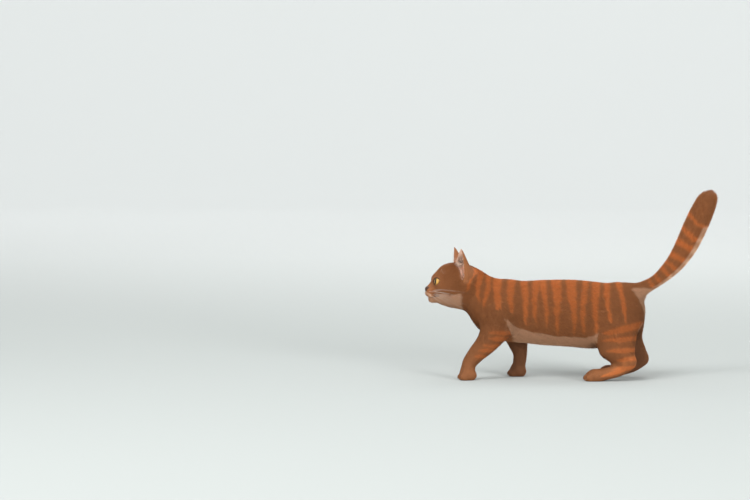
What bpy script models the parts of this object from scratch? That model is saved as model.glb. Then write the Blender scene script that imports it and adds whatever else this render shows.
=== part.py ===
"""Munchkin cat, life size, walking with its tail raised. It faces -X, and its left side is at -Y.

The flesh is laid up from a few tapered limbs and rounded masses, fused into one skin, and then parted
with thin cuts into the head, neck, torso, legs, paws and tail. The ears and eyes are pieces of their own.
"""

import math

import bmesh
import bpy
import numpy as np
from mathutils import Matrix, Vector

MM = 0.001

# Driving dimensions, in millimetres. The cat stands 178 mm high at the shoulder and is 523 mm long.
GRID_STEP = 1.3
GRID_LOW = (-275.0, -62.0, -4.0)
GRID_HIGH = (266.0, 62.0, 346.0)
GRID_SMOOTHING = 3
BODY_TRIANGLES = 7500
FACE_DETAIL = 2.5e-3
PART_GAP = 0.3
STEPS_PER_SPAN = 3

# The head's own frame has its origin in the middle of the skull, and the head looks along -X in it.
HEAD_CENTRE = (-208.5, 0.0, 171.5)
HEAD_YAW = 13.0
EYE_CENTRE = (-28.4, 14.4, 3.5)
EYE_RADIUS = 10.6
LID_THICKNESS = 1.9
EYE_MOUND = EYE_RADIUS + LID_THICKNESS
EYE_TURN_OUT = 25.0
EYE_TURN_UP = 6.0
EYE_OPENING_WIDTH = 17.6
EYE_OPENING_HEIGHT = 13.0
EYE_OPENING_TILT = -15.0
EAR_BASE = (4.0, 21.0, 21.0)
EAR_UP = (0.09, 0.28, 1.0)
EAR_FACING = (-0.94, 0.34, 0.1)
EAR_HEIGHT = 43.0
EAR_ROOT = 12.0
EAR_WIDTH = 39.5
EAR_FULLNESS = 0.65
EAR_WALL = 2.0
EAR_CUP = (106.0, 72.0)
EAR_GRID = (10, 13)
MOUTH_GROOVE = 0.75
NOSTRIL_RADIUS = 1.5

# Whiskers stand in rows on each pad, the lengths from the front one back. Each starts out to the side and
# bends back and down.
WHISKERS_IN_ROW = (2, 4, 4, 3)
WHISKER_FIRST = (-47.5, 11.0, -13.2)
WHISKER_STEP_BACK = (3.1, 1.9, 0.3)
WHISKER_STEP_DOWN = (0.6, 0.2, -2.6)
WHISKER_LENGTHS = (28.0, 42.0, 54.0, 62.0)
WHISKER_SWEEP = (0.12, 0.17)
WHISKER_RISE = (0.24, -0.17)
WHISKER_BEND = (0.30, 0.0, -0.24)
WHISKER_RADIUS = 0.42
WHISKER_TIP = 0.3
WHISKER_SINK = 1.6
WHISKER_SPANS = 4

# Rounded masses of the head: centre, radii, pitch in degrees about the cross axis, and how far each melts
# into the others. A mass off the middle is mirrored.
HEAD_MASSES = {
    "cranium": ((5, 0, 7), (33, 30, 29), 0, 12),
    "occiput": ((22, 0, -4), (26, 31, 28), 0, 14),
    "forehead": ((-12, 0, 8.5), (23, 24, 24), 0, 12),
    "face": ((-15, 0, -6), (25, 27, 24), 0, 12),
    "cheekbone": ((-15, 17.5, -8), (15, 13.5, 11), 0, 12),
    "cheek": ((-1, 20, -9), (24, 15.5, 17), 0, 14),
    "jowl": ((8, 12, -23), (24, 16, 15.5), 0, 14),
    "jaw": ((-20, 0, -24), (25, 17, 13), 0, 10),
    "throat": ((2, 0, -26), (28, 20, 16), 0, 14),
    "eye_mound": (EYE_CENTRE, (EYE_MOUND, EYE_MOUND, EYE_MOUND), 0, 7),
    "brow": ((-19.5, 13, 12), (12, 10, 7), 0, 8),
    "ear_root": ((13, 20, 17), (13, 9, 10), 0, 12),
    "bridge": ((-35.2, 0, 0), (21, 7, 7), 38, 7),
    "muzzle": ((-36.0, 0, -17), (12.5, 14, 10.5), 0, 8),
    "whisker_pad": ((-42.4, 8.8, -18), (10.0, 9.6, 8.0), 0, 3),
    "nose_tip": ((-48.8, 0, -10.4), (4.8, 6.8, 4.6), 0, 4),
    "chin": ((-39.2, 0, -28.8), (8.5, 9.2, 6.2), 0, 4),
}

# Limbs as stations: x, y, z, half depth in the side view, half width across.
TORSO = [
    (-154, 0, 133, 29, 25),
    (-143, 0, 127, 45, 34),
    (-120, 0, 122, 54, 41),
    (-85, 0, 120, 56, 45),
    (-45, 0, 119, 59, 49),
    (0, 0, 118, 60.5, 51),
    (35, 0, 115, 60.5, 49),
    (62, 0, 115, 58, 46),
    (82, 0, 119, 53, 44),
    (95, 0, 124, 42, 37),
    (100, 0, 130, 26, 23),
]
NECK = [
    (-194, 0, 164, 36, 28),
    (-178, 0, 159, 38.5, 29.5),
    (-161, 0, 150, 37, 33),
    (-144, 0, 139, 38, 37.5),
    (-126, 0, 132, 42, 41),
]
TAIL = [
    (92, 0, 146, 24, 26),
    (110, 0, 154.5, 17.5, 19),
    (128, 0, 163, 13.5, 14),
    (150, 0, 175.5, 12, 12),
    (170, 0, 192, 14.5, 14),
    (188, 0, 212, 17.5, 16.5),
    (205, 0, 239, 20.5, 19),
    (219, 0, 269, 22, 20.5),
    (231, 0, 296, 21.5, 20.5),
    (240, 0, 316, 19.5, 18.5),
    (245, 0, 323, 16, 16),
]
FORELEG_LEFT = [
    (-120, -29, 120, 28, 18),
    (-137, -33, 86, 25, 18),
    (-150, -35, 66, 20, 16.5),
    (-167, -36, 48, 16, 14.5),
    (-180, -36, 31, 13.2, 12.8),
    (-184, -36, 16, 12, 13),
]
FORELEG_RIGHT = [
    (-114, 29, 120, 28, 18),
    (-102, 33, 86, 24, 18),
    (-96, 35, 64, 19, 16.5),
    (-91.5, 36, 44, 13.5, 14),
    (-92, 36, 28, 12, 12.8),
    (-95, 36, 15, 11.5, 13),
]
THIGH_LEFT = [
    (87, -26, 126, 33, 22),
    (86, -32, 104, 35, 23.5),
    (81, -36, 78, 36, 21),
    (82, -37.5, 58, 33, 17.5),
]
SHANK_LEFT = [
    (77, -38, 62, 27, 17),
    (90, -37.5, 48, 24, 15.5),
    (102, -37, 35, 16, 12.5),
]
HIND_FOOT_LEFT = [
    (104, -36.5, 34, 13.5, 11.5),
    (88, -37, 21, 12, 12),
    (64, -38, 13, 11, 13),
    (44, -38.5, 10, 10.5, 14),
]
FAR_HIND_STEP = 24.0

SIDES = {"left": -1, "right": 1}

# Where the flesh is parted. A plane is a point and the way it looks. A leg's region is a column that holds
# it, as level ovals from the top down: x, y, z, half length, half width.
NECK_CUT = ((-183, 0, 165), (-0.8, 0, 0.6))
NECK_BASE = ((-150, 0, 140), (-0.8, 0, 0.6))
TAIL_CUTS = [
    ((138, 0, 168), (0.85, 0, 0.5)),
    ((186, 0, 209), (0.6, 0, 0.8)),
    ((217, 0, 264), (0.42, 0, 0.9)),
]
DOME = 26.0
COLUMN_SIDES = 24
FORE_REGION = {
    "left": [
        (-126, -42, 108, 34, 32),
        (-142, -40, 76, 34, 31),
        (-166, -38, 46, 38, 26),
        (-184, -37, -5, 40, 27),
    ],
    "right": [
        (-112, 42, 108, 34, 32),
        (-100, 40, 76, 30, 31),
        (-94, 38, 46, 30, 26),
        (-97, 37, -5, 36, 27),
    ],
}
HIND_REGION = [
    (97, -47, 112, 42, 37),
    (88, -44, 78, 44, 35),
    (92, -41, 52, 55, 32),
    (86, -40, -5, 82, 32),
]
HIND_SHARES = (0.5, 0.6, 0.95, 1.0)
WRIST_HEIGHT = 23.0
ANKLE = (62, -38, 14)
NOSE_PLUG = (-47.0, 0, -10.4)
NOSE_LENGTH = 12.0
NOSE_RADII = (6.0, 4.7)
NOSE_NARROWING = 0.42
NOSTRIL = (-53.5, 3.4, -10.8)
PHILTRUM = [(-54, 0, -15.2), (-54, 0, -18.5), (-53, 0, -21.2)]
MOUTH_MIDDLE = (-53, 0, -22.2)
MOUTH_LINE = [(-51.5, 4, -23.8), (-48, 8.5, -24.6), (-42, 13.5, -24.2), (-34, 18.5, -23.0)]

# How far each kind of limb melts into the rest.
BODY_BLEND = 20.0
LEG_BLEND = 16.0
FOOT_BLEND = 8.0
TOE_BLEND = 1.6

# The paws: where the toes spring from, and how far they reach. All four stand on the floor at z = 0.
PAWS = {
    "front_left": (-182, -36.5),
    "front_right": (-95, 36.5),
    "hind_left": (42, -38.5),
    "hind_right": (42 + FAR_HIND_STEP, 38.5),
}
TOE_REACH = 11.0
TOE_SPREAD = (-9.6, -3.3, 3.3, 9.6)
TOE_SETBACK = (3.2, 0.0, 0.0, 3.2)
TOE_RADII = (8.2, 4.3, 6.4)
TOE_HEIGHT = 5.9
PAW_RADII = (15.0, 13.6, 10.5)
PAW_HEIGHT = 8.0
PAW_TURN_OUT = 7.0

BROWN = (0.195, 0.071, 0.023)
DARK_BROWN = (0.123, 0.045, 0.016)
AMBER = (0.807, 0.515, 0.181)


def clear_scene():
    for obj in list(bpy.data.objects):
        bpy.data.objects.remove(obj, do_unlink=True)


def collection(name):
    made = bpy.data.collections.new(name)
    bpy.context.scene.collection.children.link(made)
    return made


def material(name, colour, roughness):
    made = bpy.data.materials.new(name)
    made.use_nodes = True
    shader = made.node_tree.nodes["Principled BSDF"]
    shader.inputs["Base Color"].default_value = (*colour, 1.0)
    shader.inputs["Roughness"].default_value = roughness
    shader.inputs["Metallic"].default_value = 0.0
    return made


def mesh_object(name, bm, home):
    """A mesh object from bm, which is in millimetres. Its faces are split into triangles, which are flat."""
    bmesh.ops.triangulate(bm, faces=bm.faces[:])
    bmesh.ops.scale(bm, vec=(MM, MM, MM), verts=bm.verts)
    mesh = bpy.data.meshes.new(name)
    bm.to_mesh(mesh)
    bm.free()
    obj = bpy.data.objects.new(name, mesh)
    home.objects.link(obj)
    return obj


def smooth_path(stations):
    """Stations joined by a Catmull-Rom curve, so that place and thickness both run smoothly."""
    rows = [Vector(row) for row in stations]
    rows = [2 * rows[0] - rows[1], *rows, 2 * rows[-1] - rows[-2]]
    found = []
    for a, b, c, d in zip(rows, rows[1:], rows[2:], rows[3:]):
        for step in range(STEPS_PER_SPAN):
            t = step / STEPS_PER_SPAN
            bend = (2 * a - 5 * b + 4 * c - d) * t**2 + (3 * b - a - 3 * c + d) * t**3
            found.append(0.5 * (2 * b + (c - a) * t + bend))
    return [*found, rows[-2]]


def rounded(scaled, radii):
    """Distance to an oval, near enough, from coordinates scaled by its radii."""
    out = np.sqrt(sum(part**2 for part in scaled))
    slope = np.sqrt(sum((part / radius) ** 2 for part, radius in zip(scaled, radii)))
    return out * (out - 1) / np.maximum(slope, 1e-6)


class Flesh:
    """Distances to the flesh on a grid of points. Masses melt into each other where they meet."""

    def __init__(self):
        self.axes = [np.arange(low, high, GRID_STEP) for low, high in zip(GRID_LOW, GRID_HIGH)]
        self.field = self.empty()

    def empty(self):
        return np.full([len(axis) for axis in self.axes], 40.0, dtype=np.float32)

    def window(self, low, high, margin):
        """The part of the grid within a box, as slices and as coordinates."""
        cuts = []
        for axis, start, end in zip(self.axes, low, high):
            first, last = np.searchsorted(axis, (start - margin, end + margin))
            cuts.append(slice(first, last))
        points = np.meshgrid(*[axis[part] for axis, part in zip(self.axes, cuts)], indexing="ij")
        return tuple(cuts), points

    def melt(self, cuts, distance, blend):
        held = self.field[cuts]
        share = np.clip(0.5 + 0.5 * (held - distance) / blend, 0, 1)
        self.field[cuts] = held * (1 - share) + distance * share - blend * share * (1 - share)

    def add_mass(self, place, radii, blend):
        """An oval mass. Place is its frame, with its centre and its turn."""
        centre = place.translation
        reach = max(radii)
        cuts, (x, y, z) = self.window([c - reach for c in centre], [c + reach for c in centre], blend)
        back = place.inverted()
        scaled = []
        for row, radius in zip(back, radii):
            scaled.append((row[0] * x + row[1] * y + row[2] * z + row[3]) / radius)
        self.melt(cuts, rounded(scaled, radii), blend)

    def add_limb(self, stations, blend):
        """A tapered limb through the stations, oval across and with rounded ends."""
        path = smooth_path(stations)
        limb = self.empty()
        for near, far in zip(path, path[1:]):
            reach = max(*near[3:], *far[3:])
            low = [min(a, b) - reach for a, b in zip(near[:3], far[:3])]
            high = [max(a, b) + reach for a, b in zip(near[:3], far[:3])]
            cuts, points = self.window(low, high, blend)
            limb[cuts] = np.minimum(limb[cuts], span_distance(points, near, far))
        self.melt((slice(None),) * 3, limb, blend)

    def surface(self, name, home):
        """The skin: a vertex in each cell that the surface crosses, and a face on each edge it crosses."""
        field = self.field
        inside = field < 0
        shape = [count - 1 for count in field.shape]
        total = np.zeros((*shape, 3), dtype=np.float32)
        crossings = np.zeros(shape, dtype=np.float32)
        for axis in range(3):
            near = np.take(field, range(shape[axis]), axis)
            far = np.take(field, range(1, shape[axis] + 1), axis)
            crossed = (near < 0) != (far < 0)
            share = np.where(crossed, near / np.where(crossed, near - far, 1), 0)
            others = [other for other in range(3) if other != axis]
            for du in (0, 1):
                for dv in (0, 1):
                    cuts = [slice(None)] * 3
                    cuts[others[0]] = slice(du, du + shape[others[0]])
                    cuts[others[1]] = slice(dv, dv + shape[others[1]])
                    here = crossed[tuple(cuts)]
                    crossings += here
                    total[..., axis] += np.where(here, share[tuple(cuts)], 0)
                    total[..., others[0]] += here * du
                    total[..., others[1]] += here * dv
        mixed = crossings > 0
        number = np.full(shape, -1, dtype=np.int32)
        number[mixed] = np.arange(mixed.sum())
        cells = np.argwhere(mixed)
        points = (cells + total[mixed] / crossings[mixed][:, None]) * GRID_STEP + np.array(GRID_LOW)
        faces = []
        for axis in range(3):
            u, v = (axis + 1) % 3, (axis + 2) % 3
            near = np.take(inside, range(shape[axis]), axis)
            far = np.take(inside, range(1, shape[axis] + 1), axis)
            for start, end in ((near, far), (far, near)):
                edges = np.argwhere(start & ~end)
                corners = []
                for du, dv in ((1, 1), (0, 1), (0, 0), (1, 0)):
                    cell = edges.copy()
                    cell[:, u] -= du
                    cell[:, v] -= dv
                    corners.append(number[tuple(cell.T)])
                if start is far:
                    corners.reverse()
                faces.append(np.stack(corners, axis=1))
        mesh = bpy.data.meshes.new(name)
        mesh.from_pydata(points * MM, [], np.concatenate(faces).tolist())
        obj = bpy.data.objects.new(name, mesh)
        home.objects.link(obj)
        return obj


def span_distance(points, near, far):
    """Distance to one length of a limb, whose oval changes evenly from its near station to its far one."""
    start = Vector(near[:3])
    ahead = Vector(far[:3]) - start
    length = ahead.length
    ahead.normalize()
    side = Vector((0, 1, 0)) - ahead * ahead.y
    side.normalize()
    up = side.cross(ahead)
    local = [axis - origin for axis, origin in zip(points, start)]
    along, across, above = (sum(part * way for part, way in zip(local, axis)) for axis in (ahead, side, up))
    share = np.clip(along / length, 0, 1)
    depth = near[3] + (far[3] - near[3]) * share
    width = near[4] + (far[4] - near[4]) * share
    radii = (np.minimum(depth, width), width, depth)
    scaled = ((along - share * length) / radii[0], across / width, above / depth)
    return rounded(scaled, radii)


def head_frame():
    """Takes the head's own frame to the cat's."""
    return Matrix.Translation(Vector(HEAD_CENTRE)) @ Matrix.Rotation(math.radians(HEAD_YAW), 4, "Z")


def mirrored(point):
    return (point[0], -point[1], point[2])


def add_head(flesh):
    """The head's masses, with a mound of flesh round each eyeball for its lids."""
    for centre, radii, pitch, blend in HEAD_MASSES.values():
        turn = Matrix.Rotation(math.radians(-pitch), 4, "Y")
        for spot in {tuple(centre), mirrored(centre)}:
            flesh.add_mass(head_frame() @ Matrix.Translation(spot) @ turn, radii, blend)


def add_paw(flesh, spot):
    """A paw on the floor: one flat mass and four toes ahead of it, turned a little out."""
    x, y = spot
    turn = Matrix.Rotation(math.radians(-math.copysign(PAW_TURN_OUT, y)), 4, "Z")
    place = Matrix.Translation((x, y, 0)) @ turn
    flesh.add_mass(place @ Matrix.Translation((0, 0, PAW_HEIGHT)), PAW_RADII, FOOT_BLEND)
    for across, back in zip(TOE_SPREAD, TOE_SETBACK):
        toe = place @ Matrix.Translation((back - TOE_REACH, across, TOE_HEIGHT))
        flesh.add_mass(toe, TOE_RADII, TOE_BLEND)


def other_side(stations, step):
    """The same limb on the other side of the body, moved back by step."""
    return [(x + step, -y, z, depth, width) for x, y, z, depth, width in stations]


def whole_body(home):
    """Every mass of the body in one skin."""
    flesh = Flesh()
    flesh.add_limb(TORSO, BODY_BLEND)
    flesh.add_limb(NECK, BODY_BLEND)
    flesh.add_limb(TAIL, BODY_BLEND)
    add_head(flesh)
    for stations in (FORELEG_LEFT, FORELEG_RIGHT):
        flesh.add_limb(stations, LEG_BLEND)
    hind = (THIGH_LEFT, 0.5, LEG_BLEND), (SHANK_LEFT, 0.95, FOOT_BLEND), (HIND_FOOT_LEFT, 1.0, FOOT_BLEND)
    for stations, share, blend in hind:
        flesh.add_limb(stations, blend)
        flesh.add_limb(other_side(stations, FAR_HIND_STEP * share), blend)
    for spot in PAWS.values():
        add_paw(flesh, spot)
    obj = flesh.surface("flesh", home)
    smooth = obj.modifiers.new("smooth", "SMOOTH")
    smooth.iterations = GRID_SMOOTHING
    apply_modifiers(obj)
    inverse = head_frame().inverted()
    coarse = obj.vertex_groups.new(name="coarse")
    for vertex in obj.data.vertices:
        face = clamp((-8 - (inverse @ (vertex.co / MM)).x) / 14)
        coarse.add([vertex.index], 1 - 0.9 * face, "REPLACE")
    thin = obj.modifiers.new("thin", "DECIMATE")
    thin.vertex_group = "coarse"
    thin.vertex_group_factor = FACE_DETAIL
    thin.ratio = BODY_TRIANGLES / (2 * len(obj.data.polygons))
    thin.use_collapse_triangulate = True
    apply_modifiers(obj)
    return obj


def clamp(value):
    return max(0.0, min(1.0, value))


def apply_modifiers(obj):
    """Replaces the object's mesh by its evaluated one, and drops the modifiers."""
    graph = bpy.context.evaluated_depsgraph_get()
    graph.update()
    mesh = bpy.data.meshes.new_from_object(obj.evaluated_get(graph))
    old = obj.data
    obj.modifiers.clear()
    obj.data = mesh
    bpy.data.meshes.remove(old)


def combine(obj, other, operation):
    """A Boolean of obj with other, applied. Other stays. Faces that earlier cuts left are split flat first."""
    obj.modifiers.new("flat", "TRIANGULATE")
    step = obj.modifiers.new("step", "BOOLEAN")
    step.operation = operation
    step.object = other
    step.solver = "EXACT"
    apply_modifiers(obj)


def copy_of(obj, name, home):
    made = bpy.data.objects.new(name, obj.data.copy())
    home.objects.link(made)
    return made


def add_tube(bm, stations, sides):
    """A closed tube through the stations, oval across and with rounded ends."""
    path = smooth_path(stations)
    centres = [Vector(row[:3]) for row in path]
    rings = []
    for i, row in enumerate(path):
        ahead = (centres[min(i + 1, len(path) - 1)] - centres[max(i - 1, 0)]).normalized()
        side = Vector((0, 1, 0)) - ahead * ahead.y
        if side.length < 0.2:
            side = Vector((1, 0, 0)) - ahead * ahead.x
        side.normalize()
        rings.append((centres[i], ahead, side, side.cross(ahead), row[3], row[4]))

    def cap(ring, sign, degrees):
        centre, ahead, side, up, depth, width = ring
        angle = math.radians(degrees)
        reach = sign * min(depth, width) * math.sin(angle)
        return (centre + ahead * reach, ahead, side, up, depth * math.cos(angle), width * math.cos(angle))

    start = [cap(rings[0], -1, degrees) for degrees in (75, 50, 25)]
    end = [cap(rings[-1], 1, degrees) for degrees in (25, 50, 75)]
    loops = []
    for centre, _, side, up, depth, width in start + rings + end:
        loop = []
        for k in range(sides):
            angle = 2 * math.pi * k / sides
            loop.append(bm.verts.new(centre + side * width * math.cos(angle) + up * depth * math.sin(angle)))
        loops.append(loop)
    faces = [bm.faces.new(loops[0]), bm.faces.new(list(reversed(loops[-1])))]
    for near, far in zip(loops, loops[1:]):
        for k in range(sides):
            n = (k + 1) % sides
            faces.append(bm.faces.new((near[k], far[k], far[n], near[n])))
    bmesh.ops.recalc_face_normals(bm, faces=faces)


def ball(name, place, radii, home, segments=24):
    """An oval ball in the frame of place."""
    bm = bmesh.new()
    oval = place @ Matrix.Diagonal((*radii, 1.0))
    bmesh.ops.create_uvsphere(bm, u_segments=segments, v_segments=segments // 2 + 2, radius=1.0, matrix=oval)
    return mesh_object(name, bm, home)


def cut_away(obj, cutter):
    combine(obj, cutter, "DIFFERENCE")
    remove(cutter)


def side_point(point, side):
    return Vector((point[0], point[1] * side, point[2]))


def eye_frame(side):
    """The frame of one eye, whose X runs from the eyeball out between the lids."""
    ahead = Matrix.Rotation(math.radians(180 - side * EYE_TURN_OUT), 4, "Z")
    up = Matrix.Rotation(math.radians(-EYE_TURN_UP), 4, "Y")
    tilt = Matrix.Rotation(math.radians(side * EYE_OPENING_TILT), 4, "X")
    return head_frame() @ Matrix.Translation(side_point(EYE_CENTRE, side)) @ ahead @ up @ tilt


def open_lids(head, side, cutters):
    """The socket of one eye, and the almond opening between its lids."""
    socket = EYE_RADIUS + PART_GAP
    cut_away(head, ball("socket", eye_frame(side), (socket, socket, socket), cutters))
    bm = bmesh.new()
    outline = []
    for k in range(24):
        angle = 2 * math.pi * k / 24
        across = math.cos(angle) * EYE_OPENING_WIDTH / 2
        above = math.copysign(abs(math.sin(angle)) ** 1.3, math.sin(angle)) * EYE_OPENING_HEIGHT / 2
        outline.append((across, above))
    rear = [bm.verts.new((0.5, across, above)) for across, above in outline]
    front = [bm.verts.new((22, across * 1.15, above * 1.15)) for across, above in outline]
    faces = [bm.faces.new(rear), bm.faces.new(list(reversed(front)))]
    for k in range(24):
        n = (k + 1) % 24
        faces.append(bm.faces.new((rear[k], front[k], front[n], rear[n])))
    bmesh.ops.recalc_face_normals(bm, faces=faces)
    bmesh.ops.transform(bm, matrix=eye_frame(side), verts=bm.verts)
    cut_away(head, mesh_object("opening", bm, cutters))


def ear(name, side, home):
    """One ear: a sheet curled into a cup, widest at its root and closing to a rounded tip."""
    up = side_point(EAR_UP, side).normalized()
    facing = side_point(EAR_FACING, side)
    facing = (facing - up * facing.dot(up)).normalized()
    across = up.cross(facing) * side
    base = side_point(EAR_BASE, side)
    columns, rows = EAR_GRID
    bm = bmesh.new()
    grid = []
    for j in range(rows + 1):
        climb = 1 - (1 - j / rows) ** 1.35
        height = -EAR_ROOT + (EAR_HEIGHT + EAR_ROOT) * climb
        share = clamp(height / EAR_HEIGHT)
        half = max(EAR_WIDTH / 2 * (1 - share) ** EAR_FULLNESS, 0.8)
        cup = math.radians(EAR_CUP[0] + (EAR_CUP[1] - EAR_CUP[0]) * share)
        bend = half / math.sin(cup)
        row = []
        for i in range(columns + 1):
            angle = cup * (2 * i / columns - 1)
            point = base + up * height + across * bend * math.sin(angle)
            point -= facing * (bend * (math.cos(angle) - math.cos(cup)) - 3 * share**2)
            row.append(bm.verts.new(head_frame() @ point))
        grid.append(row)
    for low, high in zip(grid, grid[1:]):
        for i in range(columns):
            corners = (low[i], low[i + 1], high[i + 1], high[i])
            bm.faces.new(corners if side > 0 else tuple(reversed(corners)))
    obj = mesh_object(name, bm, home)
    wall = obj.modifiers.new("wall", "SOLIDIFY")
    wall.thickness = EAR_WALL * MM
    wall.offset = 0.0
    wall.use_even_offset = True
    obj.modifiers.new("triangles", "TRIANGULATE")
    apply_modifiers(obj)
    return obj


def on_skin(obj, point):
    """The point of the skin nearest to a point of the head's own frame."""
    found = obj.closest_point_on_mesh(head_frame() @ Vector(point) * MM)
    return found[1] / MM


def groove_tube(head, points):
    """Stations of a thin groove along the points, each brought to the skin."""
    return [(*on_skin(head, point), MOUTH_GROOVE, MOUTH_GROOVE) for point in points]


def cut_mouth(head, cutters):
    """The mouth line from corner to corner, and the groove from its middle up to the nose."""
    left = [side_point(point, -1) for point in reversed(MOUTH_LINE)]
    right = [side_point(point, 1) for point in MOUTH_LINE]
    for stations in (groove_tube(head, left + [MOUTH_MIDDLE] + right), groove_tube(head, PHILTRUM)):
        bm = bmesh.new()
        add_tube(bm, stations, 8)
        cut_away(head, mesh_object("groove", bm, cutters))


def whisker(name, root, out, along, length, home):
    """One whisker: a thin strand of three sides, which tapers to a point as it bends back and down."""
    turn = head_frame().to_3x3()
    along = (turn @ Vector(along)).normalized()
    bend = turn @ Vector(WHISKER_BEND)
    side = along.cross(bend).normalized()
    bm = bmesh.new()
    rings = []
    for i in range(WHISKER_SPANS):
        share = i / WHISKER_SPANS
        centre = root + along * share * length + bend * share**2 * length
        ahead = (along + bend * 2 * share).normalized()
        if i == 0:
            centre -= out * WHISKER_SINK
        radius = WHISKER_RADIUS * (1 - share * (1 - WHISKER_TIP))
        up = side.cross(ahead)
        angles = [2 * math.pi * k / 3 for k in range(3)]
        rings.append([bm.verts.new(centre + (side * math.cos(a) + up * math.sin(a)) * radius) for a in angles])
    tip = bm.verts.new(root + (along + bend) * length)
    faces = [bm.faces.new(rings[0])]
    for near, far in zip(rings, rings[1:]):
        for k in range(3):
            n = (k + 1) % 3
            faces.append(bm.faces.new((near[k], near[n], far[n], far[k])))
    for k in range(3):
        faces.append(bm.faces.new((rings[-1][k], rings[-1][(k + 1) % 3], tip)))
    bmesh.ops.recalc_face_normals(bm, faces=faces)
    return mesh_object(name, bm, home)


def grow_whiskers(head):
    """Sets the whiskers in the head's pads, and joins them to it."""
    strands = collection("strands")
    turn = head_frame().to_3x3()
    for side in SIDES.values():
        for row, count in enumerate(WHISKERS_IN_ROW):
            for k in range(4 - count, 4):
                spot = Vector(WHISKER_FIRST) + Vector(WHISKER_STEP_BACK) * k + Vector(WHISKER_STEP_DOWN) * row
                root = on_skin(head, side_point(spot, side))
                out = turn @ side_point((-0.4, 1.0, 0.0), side).normalized()
                sweep = WHISKER_SWEEP[0] + WHISKER_SWEEP[1] * k
                along = (sweep, side, WHISKER_RISE[0] + WHISKER_RISE[1] * row)
                whisker("whisker", root, out, along, WHISKER_LENGTHS[k], strands)
    join = head.modifiers.new("join", "BOOLEAN")
    join.operation = "UNION"
    join.operand_type = "COLLECTION"
    join.collection = strands
    join.solver = "MANIFOLD"
    apply_modifiers(head)
    for strand in list(strands.objects):
        remove(strand)
    bpy.data.collections.remove(strands)


def keep_largest(obj):
    """Drops every closed surface but the largest by its box, such as a scrap that a cut leaves."""
    bm = bmesh.new()
    bm.from_mesh(obj.data)
    left = set(bm.verts)
    shells = []
    while left:
        stack = [left.pop()]
        shell = set(stack)
        while stack:
            for edge in stack.pop().link_edges:
                for vert in edge.verts:
                    if vert in left:
                        left.remove(vert)
                        shell.add(vert)
                        stack.append(vert)
        shells.append(shell)

    def size(shell):
        spans = [[v.co[axis] for v in shell] for axis in range(3)]
        return math.prod(max(span) - min(span) for span in spans)

    shells.sort(key=size)
    for shell in shells[:-1]:
        bmesh.ops.delete(bm, geom=list(shell), context="VERTS")
    bm.to_mesh(obj.data)
    bm.free()


def remove(obj):
    bpy.data.objects.remove(obj, do_unlink=True)


def region_plug(place, radii):
    """A region for the nose: a rounded triangle, wide above and narrow below, that runs on along -X."""

    def build(home, grow):
        bm = bmesh.new()
        loops = []
        for x in (grow, -NOSE_LENGTH):
            loop = []
            for k in range(COLUMN_SIDES):
                angle = 2 * math.pi * k / COLUMN_SIDES
                across = (radii[0] + grow) * math.cos(angle) * (1 + NOSE_NARROWING * math.sin(angle))
                loop.append(bm.verts.new(place @ Vector((x, across, (radii[1] + grow) * math.sin(angle)))))
            loops.append(loop)
        rear, front = loops
        faces = [bm.faces.new(rear), bm.faces.new(list(reversed(front)))]
        for k in range(COLUMN_SIDES):
            n = (k + 1) % COLUMN_SIDES
            faces.append(bm.faces.new((rear[k], front[k], front[n], rear[n])))
        bmesh.ops.recalc_face_normals(bm, faces=faces)
        return mesh_object("region", bm, home)

    return build


def region_column(stations):
    """A region to part off as a function of how far it is grown: level ovals under a domed top."""

    def build(home, grow):
        x, y, z, length, width = stations[0]
        dome = [(90 - step) / 180 * math.pi for step in (15, 35, 60)]
        rings = [
            (x, y, z + grow + DOME * math.sin(a), (length + grow) * math.cos(a), (width + grow) * math.cos(a))
            for a in dome
        ]
        rings += [(x, y, z, length + grow, width + grow) for x, y, z, length, width in stations]
        bm = bmesh.new()
        loops = []
        for x, y, z, length, width in rings:
            loop = []
            for k in range(COLUMN_SIDES):
                angle = 2 * math.pi * k / COLUMN_SIDES
                loop.append(bm.verts.new((x + length * math.cos(angle), y + width * math.sin(angle), z)))
            loops.append(loop)
        bm.faces.new(loops[0])
        bm.faces.new(list(reversed(loops[-1])))
        for high, low in zip(loops, loops[1:]):
            for k in range(COLUMN_SIDES):
                n = (k + 1) % COLUMN_SIDES
                bm.faces.new((low[k], low[n], high[n], high[k]))
        return mesh_object("region", bm, home)

    return build


def region_block(centre, size, facing):
    """A region for a straight cut: a block whose own X runs along facing."""

    def build(home, grow):
        bm = bmesh.new()
        turn = Vector(facing).to_track_quat("X", "Z").to_matrix().to_4x4()
        grown = [side + 2 * grow for side in size]
        place = Matrix.Translation(Vector(centre)) @ turn @ Matrix.Diagonal((*grown, 1.0))
        bmesh.ops.create_cube(bm, size=1.0, matrix=place)
        return mesh_object("region", bm, home)

    return build


def beyond(point, direction, reach, width):
    """A block that starts at point and runs on along direction."""
    ahead = Vector(direction).normalized()
    return region_block(Vector(point) + ahead * reach / 2, (reach, width, width), ahead)


def part_off(body, name, region, home, cutters):
    """Parts the flesh inside the region off as a node, and leaves a thin gap between the two."""
    node = copy_of(body, name, home)
    inside = region(cutters, 0.0)
    combine(node, inside, "INTERSECT")
    remove(inside)
    keep_largest(node)
    grown = region(cutters, PART_GAP)
    combine(body, grown, "DIFFERENCE")
    remove(grown)
    keep_largest(body)
    return node


def floor_cut(body, cutters):
    """Cuts the soles flat at the floor."""
    ground = region_block((0, 0, -50), (700, 300, 100), (1, 0, 0))
    cut_away(body, ground(cutters, 0.0))


def trim_to_skin(obj, body, cutters):
    """Cuts a piece back to just clear of the body."""
    grown = copy_of(body, "grown", cutters)
    swell = grown.modifiers.new("swell", "DISPLACE")
    swell.mid_level = 0.0
    swell.strength = PART_GAP * MM
    apply_modifiers(grown)
    cut_away(obj, grown)
    keep_largest(obj)


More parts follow.
